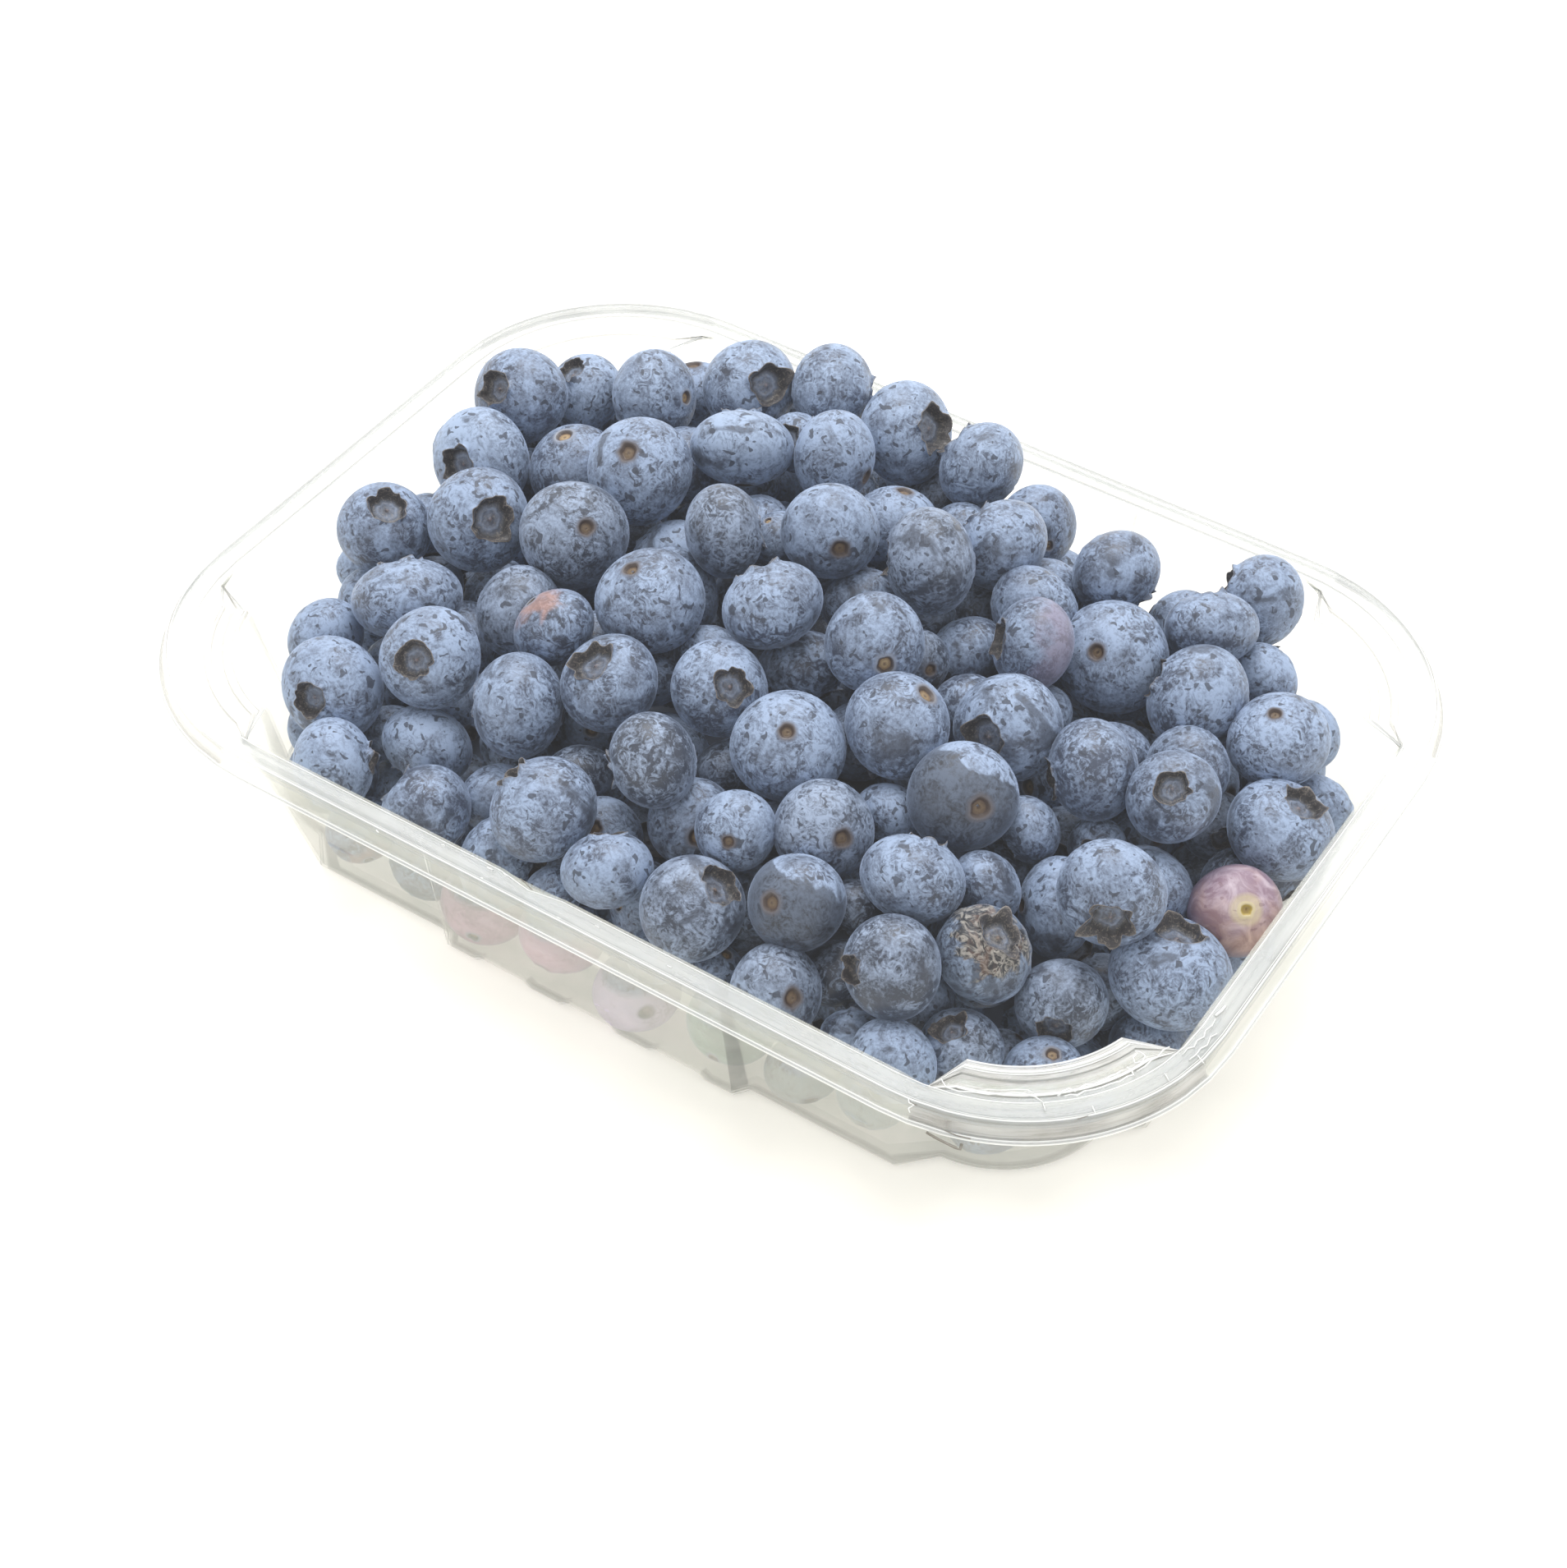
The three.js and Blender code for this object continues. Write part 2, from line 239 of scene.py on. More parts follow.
def bay_stations():
    """Places along half of a long side's middle bay, at the shoulders of its arches."""
    stations = [0.0]
    for foot in (0.5, 1.5):
        inner = foot * FOOT_PITCH - FOOT_WIDTH / 2
        outer = foot * FOOT_PITCH + FOOT_WIDTH / 2
        stations += [inner - ARCH_SHOULDER, inner]
        if foot < 1:
            stations += [outer, outer + ARCH_SHOULDER]
    return stations


def rim_quarter(offset):
    """A plain rounded rectangle, `offset` outside the inner edge of the flange."""
    edge = HALF_WIDTH + offset
    side = HALF_LENGTH + offset
    radius = RIM_CORNER_RADIUS + offset
    points = [(x, edge) for x in bay_stations()]
    points += [(x, edge) for x in JOG_STATIONS]
    points += [((LONG_BAY_HALF + CORNER_X) / 2, edge), (CORNER_X, edge)]
    points += [polar(radius, LONG_POST_ANGLE + RIM_ARC_LEAD)]
    points += arc(radius, LONG_POST_ANGLE, SHORT_POST_ANGLE)
    points += [polar(radius, SHORT_POST_ANGLE - RIM_ARC_LEAD), (side, CORNER_Y)]
    points += [(side, SHORT_BAY_HALF + BAY_JOG), (side, SHORT_BAY_HALF), (side, 0.0)]
    return points


def body_quarter(down, inset):
    """The walls' outline: `down` is 0 at the ledge and 1 at the base."""
    lean = FLANGE_ROLL + WALL_LEAN * down + inset
    recess = BAY_RECESS_TOP + (BAY_RECESS_BASE - BAY_RECESS_TOP) * down
    bay_y = HALF_WIDTH - lean
    bay_x = HALF_LENGTH - lean
    end_y = bay_y - recess
    end_x = bay_x - recess
    radius = LEDGE_EDGE_RADIUS - CORNER_LEAN * down - inset
    long_post = LONG_POST - POST_LEAN * down - inset
    short_post = SHORT_POST - POST_LEAN * down - inset
    points = [(x, bay_y) for x in bay_stations()]
    points += zip(JOG_STATIONS, (bay_y, bay_y - recess * JOG_LINE, end_y))
    points += [((LONG_BAY_HALF + long_post) / 2, end_y)]
    points += [(long_post - POST_ROUNDING, end_y), (long_post, end_y)]
    points += arc(radius, LONG_POST_ANGLE + POST_TURN * down, SHORT_POST_ANGLE - POST_TURN * down)
    points += [(end_x, short_post), (end_x, short_post - POST_ROUNDING)]
    points += [(end_x, SHORT_BAY_HALF + BAY_JOG), (bay_x, SHORT_BAY_HALF), (bay_x, 0.0)]
    return points


def mirrored(quarter):
    """The whole outline, clockwise, from the quarter with x and y above 0."""
    loop = []
    for turn, (sign_x, sign_y) in enumerate(((1, 1), (1, -1), (-1, -1), (-1, 1))):
        points = [(x * sign_x, y * sign_y, z) for x, y, z in quarter]
        if turn % 2 == 1:
            points.reverse()
        loop += points[:-1]
    return loop


def arch_lift(x, y):
    """How far the wall's foot is lifted off the table here, by an arch between two feet."""
    if abs(x) >= LONG_BAY_HALF - 0.1 or abs(y) <= CORNER_Y:
        return 0.0
    from_foot = abs((abs(x) / FOOT_PITCH) % 1 - 0.5) * FOOT_PITCH
    return ARCH_RISE if from_foot > FOOT_WIDTH / 2 + 0.01 else 0.0


# ---- the tray ----

# The tray's looks. Three are painted: dark streaks of painted shade, bright lines of painted highlight
# along folds and edges, and grey lines of painted shade beside them and at the foot.
MILKY, PAINTED_SHADE_STREAKS, CLEAR, PAINTED_HIGHLIGHT, PAINTED_SHADE_LINE = range(5)

Section = namedtuple("Section", "offset height look")

# The rim's section from the lip inwards: offset outside the flange's inner edge, height
# above the flange, and the look of the strip from there to the next row.
# Its bright strips are painted highlights on the bead and the lip, its grey strips painted shade beside
# them, and its smudged strips dark painted streaks.
RIM_SECTION = [Section(*row) for row in (
    (5.20, -3.00, PAINTED_HIGHLIGHT),
    (5.18, -2.72, MILKY),
    (4.95, -2.55, PAINTED_HIGHLIGHT),
    (4.75, -2.48, PAINTED_SHADE_LINE),
    (4.35, -2.52, PAINTED_SHADE_STREAKS),
    (4.18, -2.10, PAINTED_SHADE_STREAKS),
    (3.93, -0.80, MILKY),
    (3.86, -0.35, PAINTED_SHADE_LINE),
    (3.78, 0.02, MILKY),
    (3.60, 0.24, PAINTED_HIGHLIGHT),
    (3.36, 0.34, PAINTED_SHADE_LINE),
    (3.20, 0.28, PAINTED_HIGHLIGHT),
    (3.05, 0.20, MILKY),
    (2.85, 0.02, MILKY),
    (2.60, -0.05, MILKY),
    (1.50, 0.00, MILKY),
    (0.45, 0.00, MILKY),
    (0.16, 0.00, PAINTED_HIGHLIGHT),
    (-0.08, -0.10, PAINTED_SHADE_LINE),
    (-0.22, -0.28, PAINTED_HIGHLIGHT),
    (-0.32, -0.45, CLEAR),
)]

Groove = namedtuple("Groove", "share height look")

# The corner ledges from the rim inwards: share of the way from the wall to the rim.
# The ledges' bright, grey and smudged grooves are painted highlights, painted shade and dark painted
# streaks.
LEDGE_SECTION = [Groove(*row) for row in (
    (1.00, 0.10, CLEAR),
    (0.95, 0.00, MILKY),
    (0.80, 0.00, PAINTED_SHADE_LINE),
    (0.77, 0.22, PAINTED_HIGHLIGHT),
    (0.72, 0.22, PAINTED_SHADE_STREAKS),
    (0.64, 0.22, PAINTED_SHADE_LINE),
    (0.61, 0.00, CLEAR),
    (0.50, 0.00, PAINTED_SHADE_STREAKS),
    (0.40, 0.05, PAINTED_SHADE_LINE),
    (0.37, 0.22, PAINTED_SHADE_STREAKS),
    (0.25, 0.22, PAINTED_HIGHLIGHT),
    (0.21, 0.05, PAINTED_SHADE_LINE),
    (0.17, 0.05, PAINTED_HIGHLIGHT),
    (0.13, 0.10, PAINTED_SHADE_STREAKS),
    (0.05, 0.12, PAINTED_HIGHLIGHT),
    (0.00, 0.00, CLEAR),
)]
WALL_LEVELS = (0.03, 0.2, 0.4, 0.6, 0.8, 0.95)
# Round the foot, a bright strip paints a highlight on the fold, and the grey strips below it paint the
# shadow where the tray meets the table.
FILLET_STEPS = ((0.0, CLEAR), (0.25, PAINTED_HIGHLIGHT), (0.35, CLEAR), (0.6, PAINTED_SHADE_LINE), (0.8, PAINTED_SHADE_LINE), (1.0, CLEAR))
FLOOR_SHARES = (0.97, FLOOR_SHARE, 0.5)


def corner_range():
    """First and last place of an outline's corner."""
    first = len(bay_stations()) + len(JOG_STATIONS) + 2
    return first, first + ARC_STEPS + 2


def ledge_quarter(groove):
    """One row of the ledge in the corner, and of the roll under the flange elsewhere."""
    rim = rim_quarter(-FLANGE_ROLL - BAY_RECESS_TOP)
    first, last = corner_range()
    row = []
    for index, (x, y) in enumerate(body_quarter(0, 0)):
        out_x = x + (rim[index][0] - x) * groove.share
        out_y = y + (rim[index][1] - y) * groove.share
        rise = groove.height if first <= index <= last else (LEDGE_DROP - UNDER_ROLL) * groove.share
        row.append((out_x, out_y, LEDGE_HEIGHT + rise))
    return row


def wall_quarter(down, inset, height):
    """One row of the walls, lifted where an arch of the foot is."""
    return [(x, y, height + arch_lift(x, y) * down) for x, y in body_quarter(down, inset)]


def tray_rows():
    """Quarter rows from the lip to the floor, with the look of the strip after each."""
    rows = []
    for offset, height, look in RIM_SECTION:
        side_look = CLEAR if look == PAINTED_SHADE_STREAKS or (look == PAINTED_SHADE_LINE and offset > SKIRT_TOP) else look
        row = [(x, y, FLANGE_HEIGHT + height) for x, y in rim_quarter(offset)]
        rows.append((row, look, side_look))
    for groove in LEDGE_SECTION:
        rows.append((ledge_quarter(groove), groove.look, CLEAR))
    base = SHEET + BASE_FILLET
    for down in WALL_LEVELS:
        height = LEDGE_HEIGHT + (base - LEDGE_HEIGHT) * down
        rows.append((wall_quarter(down, WALL_BOW * (1 - down), height), CLEAR, CLEAR))
    for share, look in FILLET_STEPS:
        angle = share * math.pi / 2
        inset = BASE_FILLET * (1 - math.cos(angle))
        rows.append((wall_quarter(1, inset, base - BASE_FILLET * math.sin(angle)), look, look))
    for share in FLOOR_SHARES:
        floor = body_quarter(1, BASE_FILLET)
        rows.append(([(x * share, y * share, SHEET) for x, y in floor], CLEAR, CLEAR))
    return rows


def point_normals(points, faces):
    """Mean direction of the faces round each point."""
    normals = np.zeros_like(points)
    for corners in (np.array([f for f in faces if len(f) == size]) for size in (3, 4)):
        across = points[corners[:, 2]] - points[corners[:, 0]]
        along = points[corners[:, -1]] - points[corners[:, 1]]
        direction = np.cross(across, along)
        direction /= np.linalg.norm(direction, axis=1, keepdims=True) + 1e-12
        for corner in range(corners.shape[1]):
            np.add.at(normals, corners[:, corner], direction)
    return normals / (np.linalg.norm(normals, axis=1, keepdims=True) + 1e-12)


def station_looks(loop, corner_look, side_look):
    """The look of a strip at each station of a whole outline. The grey line of painted shadow at the foot
    is left out under an arch.
    """
    first, last = corner_range()
    count = len(loop)
    quarter = [corner_look if first <= i and i + 1 <= last else side_look for i in range(count // 4)]
    looks = []
    for turn in range(4):
        looks += quarter if turn % 2 == 0 else list(reversed(quarter))
    if side_look == PAINTED_SHADE_LINE and loop[0][2] < BASE_FILLET + ARCH_RISE:
        raised = [arch_lift(x, y) > 0 for x, y, _ in loop]
        looks = [CLEAR if raised[i] and raised[(i + 1) % count] else looks[i] for i in range(count)]
    return looks


def nick_depth(points):
    """How far the flange's inner edge is dented outwards, at the nick in the near side."""
    near_nick = np.clip(1 - np.abs(points[:, 0] - NICK_X) / NICK_REACH, 0.0, 1.0)
    on_edge = np.abs(points[:, 1] + HALF_WIDTH) < NICK_BAND
    return NICK_DEPTH * near_nick * on_edge * (points[:, 2] > FLANGE_HEIGHT - NICK_FLOOR)


def build_tray(materials):
    """The tray as one closed thin sheet. The materials are for the five looks, three of them painted
    highlight and shade.
    """
    rows = tray_rows()
    points = []
    looks = []
    for quarter, corner_look, side_look in rows:
        loop = mirrored(quarter)
        points += loop
        looks.append(station_looks(loop, corner_look, side_look))
    count = len(looks[0])
    jog = len(bay_stations())
    first_wall = len(RIM_SECTION) + len(LEDGE_SECTION) - 1
    # The jogs' fold lines are painted as the light falls on them: painted highlights at the left jogs,
    # painted shade at the near right one and dark painted streaks at the far right one.
    folds = (
        (count - 1 - jog, PAINTED_HIGHLIGHT), (jog, PAINTED_SHADE_STREAKS), (count // 2 + jog, PAINTED_HIGHLIGHT),
        (count // 2 - 1 - jog, PAINTED_SHADE_LINE), (count // 2 - 2 - jog, PAINTED_SHADE_LINE),
    )
    for row in range(first_wall, first_wall + len(WALL_LEVELS) + 1):
        for station, look in folds:
            looks[row][station] = look
    points.append((0.0, 0.0, SHEET))
    middle = len(points) - 1
    last = (len(rows) - 1) * count
    faces = band_faces(len(rows), count)
    slots = [look for band in looks[:-1] for look in band]
    faces += [(last + s, middle, last + (s + 1) % count) for s in range(count)]
    slots += [CLEAR] * count
    upper = np.array(points)
    upper[:, 1] -= nick_depth(upper)
    normals = point_normals(upper, faces)
    if normals[middle][2] < 0:
        faces = [tuple(reversed(face)) for face in faces]
        normals = -normals
    lower = upper - normals * SHEET
    lower[:, 2] = np.maximum(lower[:, 2], 0.0)
    outline = upper[:count]
    steps = np.linalg.norm(np.roll(outline, -1, axis=0) - outline, axis=1)
    along = np.append(np.tile(np.cumsum(steps), len(rows)), 0.0)
    across = np.append(np.repeat(np.arange(len(rows)), count), len(rows))
    shift = len(points)
    under = [tuple(corner + shift for corner in reversed(face)) for face in faces]
    # The sheet's cut edge along the lip is painted bright, as a highlight.
    border = [(s, (s + 1) % count, (s + 1) % count + shift, s + shift) for s in range(count)]
    piece = make_piece(
        "clear_tray", np.vstack((upper, lower)), faces + under + border, materials,
        values={"along": np.tile(along, 2), "across": np.tile(across, 2)},
        face_slots=slots + slots + [PAINTED_HIGHLIGHT] * count,
    )
    outward = bmesh.new()
    outward.from_mesh(piece.data)
    bmesh.ops.recalc_face_normals(outward, faces=outward.faces)
    outward.to_mesh(piece.data)
    outward.free()
    piece.data.set_sharp_from_angle(angle=math.radians(SHARP_FOLD))
    return piece


# ---- marks on the rim ----

Mark = namedtuple("Mark", "width rise path")

# What is left of the torn-off lid's seal, and ticks and scratches, in a white that also paints
# glints on the rim: width in millimetres, height above the flange, and a path in photo pixels.
SEAL_AND_GLINT_MARKS = (
    Mark(0.22, 0.25, ((1146, 1313), (1152, 1323), (1167, 1328), (1185, 1329), (1203, 1332), (1229, 1330),
                      (1247, 1331), (1261, 1335), (1272, 1343))),
    Mark(0.16, 0.25, ((1185, 1328), (1203, 1326), (1220, 1327), (1240, 1326), (1252, 1327), (1259, 1331))),
    Mark(0.32, 0.25, ((1288, 1334), (1294, 1328), (1302, 1325), (1309, 1328), (1315, 1324), (1322, 1320),
                      (1331, 1320), (1338, 1317), (1347, 1313), (1353, 1309), (1360, 1307), (1365, 1303))),
    Mark(0.30, 0.25, ((1296, 1334), (1304, 1332), (1312, 1333), (1320, 1328), (1332, 1326), (1342, 1323),
                      (1352, 1319), (1364, 1316), (1373, 1310), (1380, 1308), (1378, 1302), (1372, 1299))),
    Mark(0.24, 0.25, ((1382, 1279), (1388, 1280), (1395, 1285), (1391, 1292), (1382, 1294), (1380, 1287),
                      (1384, 1283))),
    Mark(0.26, 0.25, ((1384, 1304), (1394, 1298), (1402, 1290), (1410, 1286), (1416, 1278), (1424, 1274))),
    Mark(0.24, 0.25, ((1440, 1284), (1446, 1276), (1454, 1274), (1458, 1266), (1466, 1262), (1468, 1254),
                      (1476, 1248), (1480, 1240))),
    Mark(0.24, 0.25, ((1448, 1290), (1456, 1284), (1462, 1276), (1470, 1272), (1474, 1262), (1482, 1258))),
    Mark(0.50, 0.25, ((1480, 1236), (1487, 1230), (1492, 1224))),
    Mark(0.20, 0.36, ((1270, 1342), (1273, 1352))),
    Mark(0.20, 0.36, ((1330, 1346), (1334, 1355))),
    Mark(0.20, 0.36, ((1418, 1306), (1424, 1316))),
    Mark(0.20, 0.36, ((1458, 1284), (1466, 1294))),
    Mark(0.18, 0.36, ((1106, 1336), (1107, 1342), (1113, 1345), (1106, 1349), (1108, 1354))),
    Mark(0.22, 0.10, ((458, 1010), (461, 1013))),
    Mark(0.22, 0.10, ((537, 1028), (542, 1029))),
    Mark(0.25, 0.10, ((574, 1041), (578, 1043))),
    Mark(0.30, 0.10, ((593, 1055), (600, 1059))),
    Mark(0.26, 0.10, ((585, 1068), (588, 1069))),
    Mark(0.22, 0.10, ((613, 1063), (618, 1066))),
    Mark(0.24, 0.10, ((678, 1116), (682, 1118))),
    Mark(0.20, 0.10, ((724, 1126), (730, 1129))),
    Mark(0.22, 0.10, ((812, 1175), (818, 1178))),
)
MARK_THICKNESS = 0.12
MARK_TOP = 0.4

# Dark ribbons: a folded tab under the lip, two thin lines under the lip, and short marks on top of the rim.
DARK_MARKS = (
    Mark(0.45, -3.05, ((1128, 1378), (1140, 1385), (1152, 1391), (1164, 1397), (1169, 1399), (1171, 1392))),
    Mark(0.16, -2.40, ((1150, 1376), (1165, 1382), (1182, 1386))),
    Mark(0.20, -2.40, ((1186, 1374), (1205, 1378), (1226, 1379), (1244, 1378))),
    Mark(0.14, 0.05, ((1107, 1337), (1110, 1343), (1116, 1345))),
    Mark(0.14, 0.10, ((634, 1069), (641, 1076), (648, 1083))),
    Mark(0.12, 0.36, ((1312, 1362), (1319, 1360), (1325, 1358))),
)


def on_flange(x, y, rise):
    """Where a photo pixel's line of sight meets the level of the flange, or `rise` above it."""
    line = sight_line(x, y)
    return EYE + line * ((FLANGE_HEIGHT + rise - EYE[2]) / line[2])


def build_marks(name, marks, material):
    """Low ribbons along the marks' paths."""
    points = []
    faces = []
    for mark in marks:
        middle = np.array([on_flange(x, y, mark.rise) for x, y in mark.path])
        course = np.gradient(middle, axis=0)
        side = np.stack((-course[:, 1], course[:, 0], np.zeros(len(middle))), axis=1)
        side *= mark.width / 2 / np.linalg.norm(side, axis=1, keepdims=True)
        drop = np.array((0.0, 0.0, MARK_THICKNESS))
        start = len(points)
        for here, across in zip(middle, side):
            points += [here - across - drop, here + across - drop]
            points += [here + across * MARK_TOP, here - across * MARK_TOP]
        faces += band_faces(len(middle), 4, start)
        last = start + 4 * (len(middle) - 1)
        faces += [(start, start + 1, start + 2, start + 3), (last + 3, last + 2, last + 1, last)]
    return make_piece(name, points, faces, (material,))


# ---- where the berries lie ----

def heap_height(x, y):
    """Height of the middle of the uppermost berries."""
    along = min(1.0, abs(x) / HALF_LENGTH) ** CROWN_POWER
    across = min(1.0, abs(y) / HALF_WIDTH) ** CROWN_POWER
    return EDGE_HEIGHT + BACK_LIFT * y / HALF_WIDTH + CROWN_RISE * (1 - along) * (1 - across)


# The berries that the photograph shows. Photo x, y and radius are pixels, and so is the
# place of the berry's pole that faces the camera. `sink` is how many millimetres it lies
# below the uppermost berries, and `face` says what is at the pole. Most berries are blue
# and show the scar where their stem was.
Seen = namedtuple("Seen", "x y radius squash pole_x pole_y sink kind face", defaults=(0, "blue", "scar"))

SEEN_BERRIES = [Seen(*row) for row in (
    (634, 482, 59, 0.86, 605, 479, 0, "blue", "crown"),
    (712, 478, 49, 0.85, 692, 455, 3, "dusty", "crown"),
    (797, 482, 56, 0.85, 836, 487, 1, "dusty"),
    (586, 559, 62, 0.85, 562, 572, 0, "dusty", "crown"),
    (703, 573, 58, 0.95, 690, 535, 5),
    (779, 573, 66, 0.88, 767, 556),
    (468, 643, 57, 0.90, 477, 620, 0, "blue", "crown"),
    (520, 640, 45, 0.85, 510, 600, 9),
    (583, 633, 63, 0.88, 603, 638, 0, "blue", "crown"),
    (699, 651, 67, 0.90, 720, 648, 0, "dark"),
    (495, 729, 67, 0.74, 488, 680, 0, "blue", "crown"),
    (448, 727, 40, 0.85, 412, 700, 8),
    (397, 776, 51, 0.85, 360, 740, 4),
    (524, 801, 63, 0.90, 508, 806, 0, "blue", "crown"),
    (405, 838, 65, 0.88, 382, 853, 0, "blue", "crown"),
    (632, 745, 57, 0.90, 580, 730, 5, "dark"),
    (675, 764, 52, 0.85, 647, 732, 0, "red"),
    (792, 732, 67, 0.88, 772, 698),
    (824, 722, 58, 0.85, 868, 690, 5),
    (631, 859, 66, 0.85, 575, 848, 0, "blue", "crown"),
    (742, 832, 62, 0.90, 718, 806, 0, "blue", "crown"),
    (913, 472, 58, 0.90, 939, 474, 0, "dusty", "crown"),
    (850, 480, 44, 0.90, 846, 446, 7),
    (668, 534, 45, 0.90, 660, 500, 9, "dark"),
    (963, 512, 40, 0.85, 940, 480, 9, "dark"),
    (1014, 475, 57, 0.88, 1064, 479, 0, "dusty", "crown"),
    (1103, 527, 63, 0.84, 1141, 525, 0, "dusty", "crown"),
    (1195, 567, 57, 0.85, 1160, 532, 0, "dusty", "crown"),
    (904, 545, 63, 0.73, 905, 499, 0, "dusty", "crown"),
    (1016, 556, 56, 0.88, 1057, 578),
    (882, 646, 57, 0.84, 930, 640, 1, "dark", "crown"),
    (1011, 647, 60, 0.90, 1022, 672),
    (1090, 643, 54, 0.95, 1100, 600, 6),
    (1146, 606, 50, 0.92, 1160, 570, 9, "dark"),
    (1132, 683, 67, 0.82, 1078, 683, 0, "dark", "crown"),
    (1220, 663, 58, 0.88, 1184, 624, 0, "blue", "crown"),
    (940, 737, 65, 0.80, 920, 690, 0, "blue", "crown"),
    (1065, 783, 63, 0.90, 1076, 812),
    (876, 838, 60, 0.90, 893, 838, 0, "blue", "crown"),
    (865, 800, 45, 0.85, 880, 760, 7),
    (975, 815, 55, 0.85, 950, 768, 5),
    (1050, 735, 50, 0.85, 1030, 690, 7),
    (1116, 806, 42, 0.85, 1132, 818, 5, "dark"),
    (1178, 795, 50, 0.85, 1150, 755, 6),
    (1258, 784, 58, 0.83, 1212, 778, 0, "plum", "crown"),
    (1354, 800, 70, 0.88, 1331, 795),
    (1262, 641, 52, 0.88, 1277, 667, 4),
    (1275, 720, 47, 0.85, 1290, 676, 4),
    (1305, 728, 34, 0.85, 1330, 705, 8),
    (1359, 697, 55, 0.90, 1325, 655, 1),
    (1537, 731, 56, 0.90, 1488, 711, 0, "blue", "crown"),
    (1475, 765, 57, 0.80, 1470, 720, 0, "blue", "crown"),
    (1438, 768, 50, 0.90, 1400, 745, 6),
    (1458, 851, 67, 0.90, 1404, 824, 0, "blue", "crown"),
    (1538, 826, 46, 0.85, 1575, 800, 4),
    (1557, 901, 64, 0.80, 1547, 868),
    (1592, 894, 45, 0.85, 1630, 875, 5),
    (1228, 886, 68, 0.90, 1193, 902, 0, "blue", "crown"),
    (1175, 862, 47, 0.85, 1150, 822, 6),
    (1331, 937, 65, 0.84, 1386, 925),
    (1360, 922, 48, 0.85, 1395, 885, 6),
    (1428, 970, 58, 0.92, 1417, 957, 0, "blue", "crown"),
    (1559, 1011, 69, 0.82, 1584, 974, 0, "blue", "crown"),
    (1604, 985, 46, 0.85, 1640, 955, 4),
    (1478, 1005, 44, 0.85, 1485, 1022, 6, "dark", "crown"),
    (1172, 970, 68, 0.92, 1187, 980, 0, "rubbed"),
    (1253, 1010, 43, 0.85, 1285, 985, 5),
    (1200, 1080, 48, 0.85, 1235, 1050, 3),
    (1353, 1087, 69, 0.86, 1345, 1124, 0, "blue", "crown"),
    (1405, 1083, 53, 0.85, 1445, 1055, 4),
    (1287, 1104, 62, 0.74, 1243, 1100, 3),
    (1504, 1109, 58, 0.95, 1510, 1103, 0, "unripe"),
    (1500, 1070, 42, 0.85, 1475, 1040, 6, "dark"),
    (1462, 1062, 44, 0.90, 1440, 1030, 12, "dark"),
    (406, 930, 57, 0.86, 454, 925, 0, "blue", "crown"),
    (520, 907, 58, 0.80, 545, 865, 4),
    (519, 987, 59, 0.90, 478, 954, 0, "blue", "crown"),
    (603, 971, 47, 0.85, 580, 930, 5),
    (662, 985, 67, 0.92, 624, 940, 0, "blue", "crown"),
    (740, 1059, 58, 0.82, 742, 1107),
    (735, 1018, 49, 0.88, 725, 1008, 5),
    (795, 926, 61, 0.87, 848, 915, 1, "dark"),
    (705, 945, 45, 0.85, 700, 905, 8, "dark"),
    (383, 888, 38, 0.85, 350, 890, 8),
    (960, 909, 70, 0.92, 961, 892),
    (1093, 883, 67, 0.92, 1127, 847),
    (845, 1003, 57, 0.88, 850, 1019, 3),
    (896, 1011, 51, 0.90, 886, 1025),
    (1003, 1010, 63, 0.92, 1027, 1020, 0, "dark"),
    (1083, 990, 42, 0.85, 1105, 955, 6),
    (882, 937, 40, 0.85, 862, 905, 8, "dark"),
    (843, 1106, 66, 0.92, 880, 1077, 0, "dark", "crown"),
    (970, 1099, 62, 0.92, 937, 1097, 0, "rubbed"),
    (1112, 1070, 67, 0.80, 1094, 1120),
    (1045, 1105, 40, 0.85, 1060, 1072, 7, "dark"),
    (872, 1182, 36, 0.85, 886, 1162, 9),
    (944, 1208, 60, 0.92, 968, 1213, 0, "dark"),
    (1086, 1177, 67, 0.88, 1034, 1180, 0, "dark", "crown"),
    (1198, 1161, 61, 0.92, 1219, 1133, 0, "brown", "crown"),
    (1088, 1291, 56, 0.88, 1120, 1250, 2),
    (1170, 1277, 52, 0.90, 1156, 1248, 2, "dark", "crown"),
    (1272, 1308, 50, 0.85, 1277, 1281, 3),
    (1222, 1285, 36, 0.85, 1240, 1262, 9, "dark"),
    (1293, 1222, 58, 0.90, 1284, 1256, 6, "dark", "crown"),
    (1334, 1208, 54, 0.85, 1312, 1168, 8, "dark", "crown"),
    (1348, 1264, 32, 0.85, 1334, 1244, 11, "dark"),
    (1398, 1270, 48, 0.85, 1400, 1230, 4),
    (1425, 1185, 78, 0.84, 1436, 1127, 0, "blue", "crown"),
    (1022, 1185, 48, 0.85, 1010, 1145, 7, "dark"),
)]

# The berries that the photograph shows through the near wall, which they lie against.
WALL_BERRIES = [Seen(*row) for row in (
    (440, 1010, 45, 0.88, 452, 1046, 0, "red"),
    (592, 1100, 56, 0.88, 578, 1140, 0, "pink"),
    (684, 1137, 54, 0.88, 662, 1180, 0, "pink"),
    (776, 1207, 54, 0.92, 790, 1232, 0, "lilac"),
    (890, 1245, 57, 0.88, 868, 1288, 0, "green"),
    (978, 1310, 48, 0.88, 986, 1348, 0, "pale"),
    (1062, 1335, 44, 0.88, 1050, 1372, 0, "pale"),
)]

